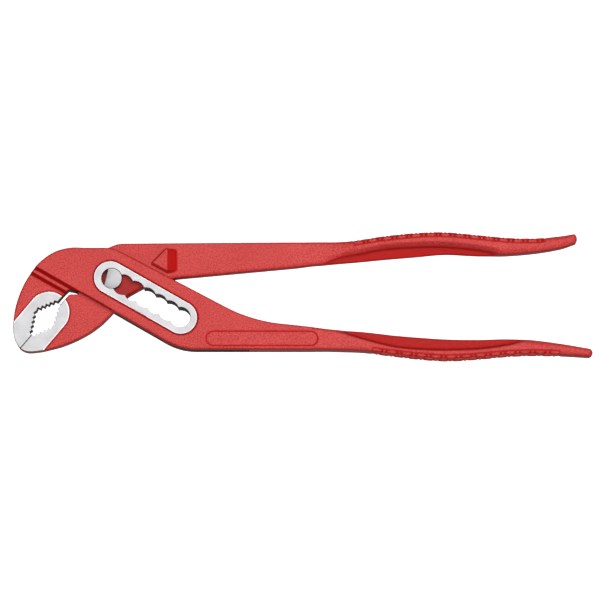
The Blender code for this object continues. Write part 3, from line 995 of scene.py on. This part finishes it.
def onMouth(points):
    # the toothed edges and the bare walls above them
    teeth = np.minimum(segmentDistance(points, mouthEdge(1)), segmentDistance(points, mouthEdge(-1)))
    return (teeth < 0.02) | (segmentDistance(points, jaws["throat"]) < jaws["throatReach"])


def slottedRimGlint(points):
    # painted highlight: bright lines along the edges of the ring and the pad
    ring = ringDistance(points) - slotted["ringRadius"]
    return np.maximum(rimGlintLine(ring), padRimGlint(points))


def rimGlintLine(gap):
    return ramp(gap, -0.42, -0.2) * (1 - ramp(gap, 0.0, 0.1))


def padRimGlint(points):
    return rimGlintLine(padDistance(points) - jaws["padRadius"]) * onJaw(points)


def slottedPaintedShade(handle, points):
    ring = ringDistance(points) - slotted["ringRadius"]
    # painted shade in the groove round the ring's foot
    foot = ramp(ring, 0.0, 0.15) * (1 - ramp(ring, 0.35, 0.9))
    # painted shade in the panel's groove
    panel = slotted["paintedPanelShade"] * np.exp(-(panelDistance(points) / 0.35) ** 2)
    # painted shade on the sloped steps, which face away from the light
    steps = slotted["paintedStepShade"] * (slopeShare(points, "stepOne") + slopeShare(points, "stepTwo"))
    jaw = (steps + padFootShade(points)) * onJaw(points)
    return np.clip(foot + panel + jaw + handle.shade(points), 0, 1)


def slopeShare(points, step):
    # 1 on one of the sloped steps beside the jaw, 0 on the flats
    start, end = slotted[step]
    below = belowSlot(points)
    return ramp(below, start - 0.3, start + 0.4) * (1 - ramp(below, end - 0.2, end + 0.5))


def padFootShade(points):
    # painted shade in the dip at the pad's foot
    gap = padDistance(points) - jaws["padRadius"]
    return jaws["paintedPadDipShade"] * ramp(gap, 0.0, 0.12) * (1 - ramp(gap, 0.25, 0.8))


def slitRegion():
    foot, head = slotted["slitFoot"], slotted["slitHead"]
    slope = (head[0] - foot[0]) / (head[1] - foot[1])
    return [(slotted["slitJawEnd"], -60.0), (foot[0] - (60 + foot[1]) * slope, -60.0), head,
            (head[0], 60.0), (slotted["slitJawEnd"], 60.0)]


def buildSlottedArm():
    handle = Handle(lowerHandle)
    jawEnd = slotted["slitJawEnd"]
    return raiseForging("slotted_forging", {
        "runs": slottedRuns(handle),
        "holes": [scallops()],
        "features": slottedFeatures(handle),
        "gridStep": 1.1,
        "slit": slitRegion(),
        "slitEnds": [densify([(jawEnd, -11.0), (jawEnd, 19.0)], 0.25),
                     densify([slotted["slitFoot"], slotted["slitHead"]], 0.25)],
        "slitHalf": slotted["slitHalf"],
        # painted shade: the slit's cheeks take the dark tooth steel
        "slitFinish": darkToothAndShadeFinish,
        "height": lambda points: slottedHeight(handle, points),
        "finish": slottedFinish,
        "wallFinish": slottedWall,
        "paintedShade": lambda points: slottedPaintedShade(handle, points),
        "rim": slottedRimGlint,
    })


# Through arm: upper handle, the plate that passes through the slit, and lower jaw

through = {
    "plateHalf": 5.0,
    "boreRadius": 5.3,
    "armEnd": 96.0,
    "guardHalf": 8.6,
    "guardRidge": 28.5,            # where the guard starts to slope
    "paintedHiddenShade": 0.62,           # painted shade: how much darker the plate is where it runs inside the slotted arm
    "guardSlope": 0.65,
    "guard": [(20.1, 8.0, 0.8), (29.2, 3.2, 1.2), (33.8, 4.2, 1.2), (33.6, 15.2, 1.2), (27.8, 15.8, 1.4)],
    "paintedGuardShade": 0.6,             # painted shade in the corner around the guard
    "paintedGuardSlopeShade": 0.5,             # and painted shade on its slope
    # rows of mesh beside the guard's outline and its ridge
    "guardLines": (-0.6, -0.25, -0.1, 0.05, 0.2, 0.35, 0.5, 0.65, 0.85, 1.1),
    "ridgeLines": (-0.3, -0.1, 0.1, 0.3, 0.5, 0.8),
    "padRounding": 0.35,
    "topRounding": 0.9,
    "bellyRounding": 1.3,
    "lowerRounding": 2.0,
}


def throughRuns(handle):
    belly = smooth([jawTip(-1), (-44.6, -37.5), (-41.2, -37.8), (-34.0, -36.8), (-24.3, -34.2),
                    (-14.0, -29.5), (-5.7, -23.8), (1.2, -16.9)], 12)
    hidden = rounded([(1.2, -16.9), (8.5, -8.8, 8.0), (16.1, -4.6), (33.0, 0.4, 20.0), (104.0, 7.0)])
    hidden = [p for p in hidden if p[0] < through["armEnd"]] + [(through["armEnd"], 6.26)]
    outer, inner, end = handle.edges(through["armEnd"])
    mouth = mouthEdge(-1)
    neck = along(jaws["meet"], jaws["angle"], jaws["openingLength"], -1.2)
    top = rounded([(through["armEnd"], 19.28), (10.0, 18.6), (3.0, 18.5, 14.0), (-5.5, 14.9, 4.0),
                   (-14.8, 4.6, 12.0), (-17.8, -7.9), (-22.0, -7.9, 1.5), neck])

    def bellyRounding(points):
        near = pastPad(points, through["padRounding"], through["bellyRounding"])
        arm = np.interp(points[:, 0], (0, 25), (through["bellyRounding"], through["lowerRounding"]))
        return np.where(points[:, 0] > 0, arm, near)

    def innerRounding(points):
        toHandle = handle.innerRounding(points[:, 0])
        blend = ramp(points[:, 0], through["armEnd"], through["armEnd"] + 22)
        return through["lowerRounding"] + (toHandle - through["lowerRounding"]) * blend

    def outerRounding(points):
        return handle.outerRounding(points[:, 0])

    def topRounding(points):
        plain = through["topRounding"]
        return np.interp(points[:, 0], (-24, -16, 70, through["armEnd"]), (0.4, plain, plain, 1.4))

    return [
        run(belly + hidden[1:], bellyRounding),
        run([hidden[-1]] + inner, innerRounding),
        run(end, outerRounding),
        run(outer[::-1] + [top[0]], outerRounding, handle.outerDrop),
        run(top, topRounding),
        run([neck] + mouth[::-1], jaws["lowerEdge"]),
    ]


def guardLoop():
    corners = through["guard"]
    path = []
    for before, corner, after in zip(corners[-1:] + corners[:-1], corners, corners[1:] + corners[:1]):
        path += fillet(before, corner, after)
    return np.array(densify(path + path[:1], 0.35)[:-1])


def guardDepth(points):
    # distance inside the guard's outline, negative outside it
    loop = guardLoop()
    gap = segmentDistance(points, closed(loop))
    return np.where(inside(points, loop), gap, -gap)


def throughHeight(handle, points):
    x = points[:, 0]
    height = np.where(x < 0, padHeight(points, through["plateHalf"]), handle.halfThickness(x))
    slope = np.maximum(x - through["guardRidge"], 0)
    slope = np.where(slope < 0.4, slope * slope / 0.8, slope - 0.2) * through["guardSlope"]
    guard = (through["guardHalf"] - slope - through["plateHalf"]) * ramp(guardDepth(points), -0.25, 0.85)
    return height + np.maximum(guard, 0) - handle.webDrop(points)


def throughFeatures(handle):
    loop = guardLoop()
    normals = inwardNormals(loop, loopArea(loop) > 0)
    rows = []
    for gap in through["guardLines"]:
        rows += [tuple(p) for p in loop + normals * gap]
    ridge = []
    for gap in through["ridgeLines"]:
        x = through["guardRidge"] + gap
        ridge += densify([(x, 3.0), (x, 16.0)], 0.4)
    return [rows, ridge, padRows(), handle.stripRows(), handle.webRows()]


def throughFinish(points):
    return np.where(onPad(points), steelFinish, redFinish)


def throughWall(points):
    inBore = np.hypot(*points.T) < through["boreRadius"] + 0.5
    # painted shade: the bore's walls take the dark tooth steel
    return np.where(inBore | onMouth(points), darkToothAndShadeFinish, redFinish)


def throughPaintedShade(handle, points):
    foot = guardDepth(points)
    # painted shade round the guard's foot and on its slope
    around = through["paintedGuardShade"] * ramp(foot, -0.6, -0.1) * (1 - ramp(foot, -0.05, 0.15))
    pastRidge = ramp(points[:, 0] - through["guardRidge"], -0.1, 0.4)
    around += through["paintedGuardSlopeShade"] * pastRidge * ramp(foot, 0.0, 0.4)
    # painted shade on the plate inside the slotted arm
    hidden = through["paintedHiddenShade"] * (1 - ramp(segmentDistance(points, [(0, 0), slotEnd]), 5.5, 9.0))
    return np.clip(around + hidden + padFootShade(points) * onJaw(points) + handle.shade(points), 0, 1)


def buildThroughArm():
    handle = Handle(upperHandle)
    return raiseForging("through_forging", {
        "runs": throughRuns(handle),
        "holes": [arc((0, 0), through["boreRadius"], 0, 360)[:-1]],
        "features": throughFeatures(handle),
        "gridStep": 1.1,
        "slit": [],
        "slitEnds": [],
        "slitHalf": 0.0,
        "slitFinish": redFinish,
        "height": lambda points: throughHeight(handle, points),
        "finish": throughFinish,
        "wallFinish": throughWall,
        "paintedShade": lambda points: throughPaintedShade(handle, points),
        "rim": padRimGlint,
    })


# Joint pin: round in the middle, D-shaped at both ends

pin = {
    "radius": 5.23,                # the drawn pin fills more of its clearance than the modelled one
    "flat": 2.85,                  # from the axis to the flat
    "flatAngle": 166.0,
    "middleHalf": 4.9,             # half length of the round middle
    "rim": [(0.0, 0.12), (0.02, 0.05), (0.06, 0.01), (0.12, 0.0)],   # depth below the end, and inset
    "paintedShoulderShade": 0.72,
    "sides": 120,
}


def pinRing(z, inset, hasFlat):
    corner = degrees(acos(pin["flat"] / pin["radius"]))
    angles = sorted({i * 360 / pin["sides"] for i in range(pin["sides"])} | {corner, 360 - corner})
    ring = []
    for angle in angles:
        reach = pin["radius"] - inset
        if hasFlat and cos(radians(angle)) > 0:
            reach = min(reach, (pin["flat"] - inset) / cos(radians(angle)))
        ring.append((*along((0, 0), pin["flatAngle"] + angle, reach), z))
    return ring


def buildPin():
    low, high = pinBox
    half = (high.z - low.z) / 2 / mm
    middle = pin["middleHalf"]
    upper = [pinRing(half - depth, inset, True) for depth, inset in pin["rim"]]
    lower = [pinRing(depth - half, inset, True) for depth, inset in pin["rim"]]
    rings = upper + [pinRing(z, 0, flat) for z, flat in ((middle, True), (middle, False), (-middle, False),
                                                         (-middle, True))] + lower[::-1]
    mesh = bpy.data.meshes.new("turned_pin")
    work = bmesh.new()
    loops = [[work.verts.new(Vector(p) * mm + pinAxis) for p in ring] for ring in rings]
    for one, two in zip(loops, loops[1:]):
        for i in range(len(one)):
            j = (i + 1) % len(one)
            work.faces.new((one[i], one[j], two[j], two[i]))
    work.faces.new(loops[0])
    work.faces.new(loops[-1])
    bmesh.ops.remove_doubles(work, verts=work.verts, dist=1e-7)
    bmesh.ops.recalc_face_normals(work, faces=work.faces)
    # the coat was sprayed over the shoulders beside the flats
    for face in work.faces:
        middleHeight = abs(face.calc_center_median().z - pinAxis.z) / mm
        face.material_index = 1 if abs(face.normal.z) > 0.9 and middleHeight < half - 1 else 0
    work.to_mesh(mesh)
    work.free()
    # painted shade on the red shoulders deep in the slot
    shade = mesh.attributes.new("paintedShade", "FLOAT", "POINT")
    shade.data.foreach_set("value", [pin["paintedShoulderShade"]] * len(mesh.vertices))
    thing = bpy.data.objects.new("turned_pin", mesh)
    bpy.context.scene.collection.objects.link(thing)
    softenShading(mesh, smoothAngle)
    print("turned_pin", len(mesh.polygons), "faces")
    return thing


# Grip pads: long lozenges and small studs in rows round the outside of each handle

def gripRows(handle):
    # a path for each row, with the way out of the surface and which of the two shapes comes first
    start = handle.sizes["gripStart"] + grip["endMargin"]
    end = handle.sizes["gripEnd"] - grip["endMargin"]
    xs = np.arange(start, end, 1.0)
    edge = handle.at(xs, 1)
    tilt = np.gradient(edge, xs)
    size = np.hypot(1, tilt)
    out = np.column_stack([-tilt / size, 1 / size]) * handle.side
    radius = handle.outerRounding(xs)
    wall = handle.halfThickness(xs) - radius
    places, outward, phases, edges = [], [], [], []
    last = grip["rows"] // 2
    for row in range(-last, last + 1):
        around = (wall + handle.sizes["topRow"] * radius) * abs(row) / last
        turn = np.clip((around - wall) / radius, 0, None)
        sunk = radius - grip["recess"]
        inset = radius - sunk * np.cos(turn)
        sign = 1 if row >= 0 else -1
        z = np.where(turn > 0, wall + sunk * np.sin(turn), around) * sign
        first = len(places)
        places += np.column_stack([xs - out[:, 0] * inset, edge - out[:, 1] * inset, z]).tolist()
        facing = turn + (grip["padLift"] if abs(row) == last else 0)
        outward += np.column_stack([out * np.cos(facing)[:, None], np.sin(facing) * sign]).tolist()
        phases += [row % 2] * len(xs)
        edges += [(first + i, first + i + 1) for i in range(len(xs) - 1)]
    return places, edges, outward, phases


def gripInputs(tree):
    # the node group's own inputs and output, with its sizes in metres
    face = tree.interface
    face.new_socket("Geometry", in_out="INPUT", socket_type="NodeSocketGeometry")
    sizes = {"Pitch": grip["padPitch"], "Pad Length": grip["padLength"], "Pad Width": grip["padWidth"],
             "Pad Height": grip["padHeight"], "Stud Size": grip["studSize"]}
    for name, value in sizes.items():
        socket = face.new_socket(name, in_out="INPUT", socket_type="NodeSocketFloat")
        socket.default_value = value * mm
    face.new_socket("Finish", in_out="INPUT", socket_type="NodeSocketMaterial")
    face.new_socket("Geometry", in_out="OUTPUT", socket_type="NodeSocketGeometry")
    return addNode(tree, "NodeGroupInput").outputs


def gripShape(tree, source, length, width, sides):
    # a flat-topped pad with a bevelled rim, as one instance
    body = addNode(tree, "GeometryNodeMeshCone",
                   {"Vertices": sides, "Side Segments": 1, "Radius Top": grip["padTop"] / 2,
                    "Radius Bottom": 0.5, "Depth": 1.0})
    scale = addNode(tree, "ShaderNodeCombineXYZ", {},
                    {"X": source[length], "Y": source[width], "Z": source["Pad Height"]})
    sized = addNode(tree, "GeometryNodeTransform", {},
                    {"Geometry": body.outputs[0], "Scale": scale.outputs[0]})
    return addNode(tree, "GeometryNodeGeometryToInstance", {}, {0: sized.outputs[0]})


def gripChoice(tree):
    # long pads and studs take turns along a row, and each row starts with the other one
    place = addNode(tree, "GeometryNodeSplineParameter")
    phase = addNode(tree, "GeometryNodeInputNamedAttribute", {"data_type": "FLOAT", "Name": "phase"})
    total = addNode(tree, "ShaderNodeMath", {"operation": "ADD"},
                    {0: place.outputs["Index"], 1: phase.outputs["Attribute"]})
    return addNode(tree, "ShaderNodeMath", {"operation": "MODULO", 1: 2.0}, {0: total.outputs[0]})


def gripFacing(tree):
    # upright on the flange, with the long side along the row
    outward = addNode(tree, "GeometryNodeInputNamedAttribute",
                      {"data_type": "FLOAT_VECTOR", "Name": "outward"})
    upright = addNode(tree, "FunctionNodeAlignRotationToVector", {"axis": "Z"},
                      {"Vector": outward.outputs["Attribute"]})
    tangent = addNode(tree, "GeometryNodeInputTangent")
    return addNode(tree, "FunctionNodeAlignRotationToVector", {"axis": "X", "pivot_axis": "Z"},
                   {"Rotation": upright.outputs[0], "Vector": tangent.outputs[0]})


def gripTree():
    tree = bpy.data.node_groups.new("gripPads", "GeometryNodeTree")
    source = gripInputs(tree)
    half = addNode(tree, "ShaderNodeMath", {"operation": "MULTIPLY", 1: 0.5}, {0: source["Pitch"]})
    curve = addNode(tree, "GeometryNodeMeshToCurve", {}, {"Mesh": source["Geometry"]})
    points = addNode(tree, "GeometryNodeResampleCurve", {"mode": "LENGTH"},
                     {"Curve": curve.outputs[0], "Length": half.outputs[0]})
    both = addNode(tree, "GeometryNodeJoinGeometry")
    for length, width, sides in (("Pad Length", "Pad Width", grip["padSides"]),
                                 ("Stud Size", "Stud Size", grip["studSides"])):
        shape = gripShape(tree, source, length, width, sides)
        tree.links.new(shape.outputs[0], both.inputs[0])
    choice, facing = gripChoice(tree), gripFacing(tree)
    placed = addNode(tree, "GeometryNodeInstanceOnPoints", {"Pick Instance": True},
                     {"Points": points.outputs[0], "Instance": both.outputs[0],
                      "Instance Index": choice.outputs[0], "Rotation": facing.outputs[0]})
    real = addNode(tree, "GeometryNodeRealizeInstances", {}, {0: placed.outputs[0]})
    coated = addNode(tree, "GeometryNodeSetMaterial", {},
                     {"Geometry": real.outputs[0], "Material": source["Finish"]})
    addNode(tree, "NodeGroupOutput", {}, {0: coated.outputs[0]})
    return tree


def buildGripPads(name, sizes, tree, finish):
    places, edges, outward, phases = gripRows(Handle(sizes))
    mesh = bpy.data.meshes.new(name)
    mesh.from_pydata([Vector(p) * mm + pinAxis for p in places], edges, [])
    mesh.attributes.new("outward", "FLOAT_VECTOR", "POINT").data.foreach_set("vector", np.ravel(outward))
    mesh.attributes.new("phase", "FLOAT", "POINT").data.foreach_set("value", np.array(phases, np.float32))
    paths = bpy.data.objects.new(name + "_paths", mesh)
    bpy.context.scene.collection.objects.link(paths)
    modifier = paths.modifiers.new("gripPads", "NODES")
    modifier.node_group = tree
    socket = next(s for s in tree.interface.items_tree if s.name == "Finish")
    modifier[socket.identifier] = finish
    graph = bpy.context.evaluated_depsgraph_get()
    made = bpy.data.meshes.new_from_object(paths.evaluated_get(graph), depsgraph=graph)
    made.name = name
    bpy.data.objects.remove(paths)
    pads = bpy.data.objects.new(name, made)
    bpy.context.scene.collection.objects.link(pads)
    print(name, len(made.polygons), "faces")
    return pads


# Finishes

coat = {
    # painted sheen: the light tone is paler than the coat's own red, standing in for part of the sheen on
    # the flats
    "light": "#F45551",
    "deep": "#BC100E",
    "paintedShadeRed": "#CA120E",        # painted shade: a clean deep red with the painted sheen taken out, for webs and slopes
    "paintedDarkShade": "#5E0A08",     # painted shade: the dark of grooves, corners, slopes and the outline
    "roughness": 0.42,
    "specular": 0.26,
    "cloudSize": 16.0,             # mm, slow change of tone
    "peelSize": 1.3,               # mm, the coat's gentle unevenness
    "peelHeight": 0.06,
    "grainSize": 0.75,             # mm; the real grain of 0.2 mm is too fine to show, so it is drawn coarser
    "grainHeight": 0.16,
    "cloudShare": 0.3,             # how much of the tone follows the clouds
    "speckle": (0.36, 0.64, 0.8),  # grain values taken as none and all, and the speckle's full share
}
ground = {
    "light": "#AEADAF",
    "dark": "#757476",
    # painted highlight along the edges of the ring and the pads
    "rim": "#E6E2E0",
    "roughness": 0.36,
    "grainAcross": 0.35,           # mm between grinding lines, drawn coarser than the real 0.1 mm to show
    "grainAlong": 9.0,
    "lineHeight": 0.012,
    "stainSize": 7.0,              # mm, faint clouding of the bare steel
    "pinAngle": 60.0,              # direction of the grinding lines on the pin's ends
    "pinShade": 0.16,              # how much duller the pin's steel is
}
tooth = {
    "colour": "#3A3533",
    "edge": "#6A6462",
    "roughness": 0.5,
    "grainSize": 0.8,
    "grainHeight": 0.03,
}


def startMaterial(name):
    made = bpy.data.materials.new(name)
    made.use_nodes = True
    tree = made.node_tree
    place = addNode(tree, "ShaderNodeTexCoord").outputs["Object"]
    return made, tree, tree.nodes["Principled BSDF"], place


def perMetre(size):
    # a noise scale for features of this size in millimetres
    return 1000.0 / size


def blendColours(tree, share, first, second):
    return addNode(tree, "ShaderNodeMix", {"data_type": "RGBA", 6: first, 7: second}, {0: share}).outputs[2]


def redPowderCoat():
    # Polyester powder coat, sprayed and baked: semi-gloss, slightly uneven and finely grained. Flat faces
    # take a soft whitish sheen, partly from the softbox and partly painted into the pale base tone, while
    # painted shade keeps slopes a deep red.
    made, tree, shader, place = startMaterial("redPowderCoat")
    clouds = addNode(tree, "ShaderNodeTexNoise", {"Scale": perMetre(coat["cloudSize"]), "Detail": 2.0},
                     {"Vector": place})
    grain = addNode(tree, "ShaderNodeTexNoise", {"Scale": perMetre(coat["grainSize"]), "Detail": 3.0,
                                                 "Roughness": 0.7}, {"Vector": place})
    peel = addNode(tree, "ShaderNodeTexNoise", {"Scale": perMetre(coat["peelSize"]), "Detail": 2.0},
                   {"Vector": place})
    mixed = addNode(tree, "ShaderNodeMath", {"operation": "MULTIPLY_ADD", 1: coat["cloudShare"]},
                    {0: clouds.outputs[0]})
    least, most, share = coat["speckle"]
    speckle = addNode(tree, "ShaderNodeMapRange", {"From Min": least, "From Max": most, "To Max": share},
                      {0: grain.outputs[0]})
    tree.links.new(speckle.outputs[0], mixed.inputs[2])
    tone = blendColours(tree, mixed.outputs[0], linearColour(coat["deep"]), linearColour(coat["light"]))
    # painted shade: the attribute first takes the painted sheen out toward a clean deep red, then darkens
    # toward the shade colour
    paintedShade = addNode(tree, "ShaderNodeAttribute", {"attribute_name": "paintedShade"})
    shallow = addNode(tree, "ShaderNodeMapRange", {"From Max": 0.5}, {0: paintedShade.outputs["Fac"]})
    deepest = addNode(tree, "ShaderNodeMapRange", {"From Min": 0.5}, {0: paintedShade.outputs["Fac"]})
    sheenPaintedOut = blendColours(tree, shallow.outputs[0], (1, 1, 1, 1), linearColour(coat["paintedShadeRed"]))
    tree.links.new(tone, sheenPaintedOut.node.inputs[6])
    shaded = blendColours(tree, deepest.outputs[0], (1, 1, 1, 1), linearColour(coat["paintedDarkShade"]))
    tree.links.new(sheenPaintedOut, shaded.node.inputs[6])
    tree.links.new(shaded, shader.inputs["Base Color"])
    uneven = addNode(tree, "ShaderNodeMapRange",
                     {"From Min": 0.3, "From Max": 0.7, "To Min": coat["roughness"] - 0.05,
                      "To Max": coat["roughness"] + 0.07}, {0: grain.outputs[0]})
    tree.links.new(uneven.outputs[0], shader.inputs["Roughness"])
    shader.inputs["Specular IOR Level"].default_value = coat["specular"]
    broad = addNode(tree, "ShaderNodeBump", {"Strength": 1.0, "Distance": coat["peelHeight"] * mm},
                    {"Height": peel.outputs[0]})
    fine = addNode(tree, "ShaderNodeBump", {"Strength": 1.0, "Distance": coat["grainHeight"] * mm},
                   {"Height": grain.outputs[0], "Normal": broad.outputs[0]})
    tree.links.new(fine.outputs[0], shader.inputs["Normal"])
    return made


def groundSteel(name, angle, shade):
    # Chrome vanadium steel, surface ground: bright and slightly satin, with fine straight lines along
    # the wheel's travel that stretch each reflection across them.
    made, tree, shader, place = startMaterial(name)
    across = perMetre(ground["grainAcross"])
    turned = addNode(tree, "ShaderNodeMapping",
                     {"Rotation": (0, 0, radians(-angle)),
                      "Scale": (perMetre(ground["grainAlong"]), across, across)}, {"Vector": place})
    lines = addNode(tree, "ShaderNodeTexNoise", {"Scale": 1.0, "Detail": 3.0, "Roughness": 0.65},
                    {"Vector": turned.outputs[0]})
    clouds = addNode(tree, "ShaderNodeTexNoise", {"Scale": perMetre(ground["stainSize"]), "Detail": 2.0},
                     {"Vector": place})
    share = addNode(tree, "ShaderNodeMath", {"operation": "MULTIPLY_ADD", 1: 0.6}, {0: lines.outputs[0]})
    soft = addNode(tree, "ShaderNodeMath", {"operation": "MULTIPLY", 1: 0.5}, {0: clouds.outputs[0]})
    tree.links.new(soft.outputs[0], share.inputs[2])
    tone = blendColours(tree, share.outputs[0], linearColour(ground["dark"]), linearColour(ground["light"]))
    dimmed = addNode(tree, "ShaderNodeMix", {"data_type": "RGBA", 0: shade, 7: (0, 0, 0, 1)}, {6: tone})
    # painted highlight: the steel is lightened along the ring's and pads' edges
    rim = addNode(tree, "ShaderNodeAttribute", {"attribute_name": "rim"}).outputs["Fac"]
    rimGlint = blendColours(tree, rim, (0, 0, 0, 1), linearColour(ground["rim"]))
    tree.links.new(dimmed.outputs[2], rimGlint.node.inputs[6])
    tree.links.new(rimGlint, shader.inputs["Base Color"])
    shader.inputs["Metallic"].default_value = 1.0
    satin = addNode(tree, "ShaderNodeMapRange",
                    {"From Min": 0.3, "From Max": 0.7, "To Min": ground["roughness"] - 0.06,
                     "To Max": ground["roughness"] + 0.08}, {0: lines.outputs[0]})
    tree.links.new(satin.outputs[0], shader.inputs["Roughness"])
    bump = addNode(tree, "ShaderNodeBump", {"Strength": 1.0, "Distance": ground["lineHeight"] * mm},
                   {"Height": lines.outputs[0]})
    tree.links.new(bump.outputs[0], shader.inputs["Normal"])
    return made


def quenchedSteelAndShade():
    # Induction-hardened steel left as quenched: a dark, nearly black film with little shine. It is also
    # painted on the slit's cheeks, the slot's walls and the bore as painted shade.
    made, tree, shader, place = startMaterial("quenchedSteelAndShade")
    film = addNode(tree, "ShaderNodeTexNoise", {"Scale": perMetre(tooth["grainSize"]), "Detail": 3.0},
                   {"Vector": place})
    tone = blendColours(tree, film.outputs[0], linearColour(tooth["colour"]), linearColour(tooth["edge"]))
    tree.links.new(tone, shader.inputs["Base Color"])
    shader.inputs["Metallic"].default_value = 0.9
    shader.inputs["Roughness"].default_value = tooth["roughness"]
    bump = addNode(tree, "ShaderNodeBump", {"Strength": 0.6, "Distance": tooth["grainHeight"] * mm},
                   {"Height": film.outputs[0]})
    tree.links.new(bump.outputs[0], shader.inputs["Normal"])
    return made


# Put together

red = redPowderCoat()
steel = groundSteel("groundSteel", slotAngle, 0.0)
turnedSteel = groundSteel("turnedPinSteel", ground["pinAngle"], ground["pinShade"])
dark = quenchedSteelAndShade()
print("finishes ready")

slottedForging = buildSlottedArm()
throughForging = buildThroughArm()
turnedPin = buildPin()
padTree = gripTree()
lowerPads = buildGripPads("lower_grip_pads", lowerHandle, padTree, red)
upperPads = buildGripPads("upper_grip_pads", upperHandle, padTree, red)

for forging in (slottedForging, throughForging):
    for finish in (red, steel, dark):
        forging.data.materials.append(finish)
turnedPin.data.materials.append(turnedSteel)
turnedPin.data.materials.append(red)

for piece, body, slotName in ((slottedForging, "slotted_arm", "red_powder_coat"),
                              (lowerPads, "slotted_arm", "red_powder_coat"),
                              (throughForging, "through_arm", "red_powder_coat"),
                              (upperPads, "through_arm", "red_powder_coat"),
                              (turnedPin, "joint_pin", "ground_steel")):
    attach(piece, body)
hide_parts("slotted_arm")
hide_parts("through_arm")
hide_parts("joint_pin")
print("pieces on their bodies")
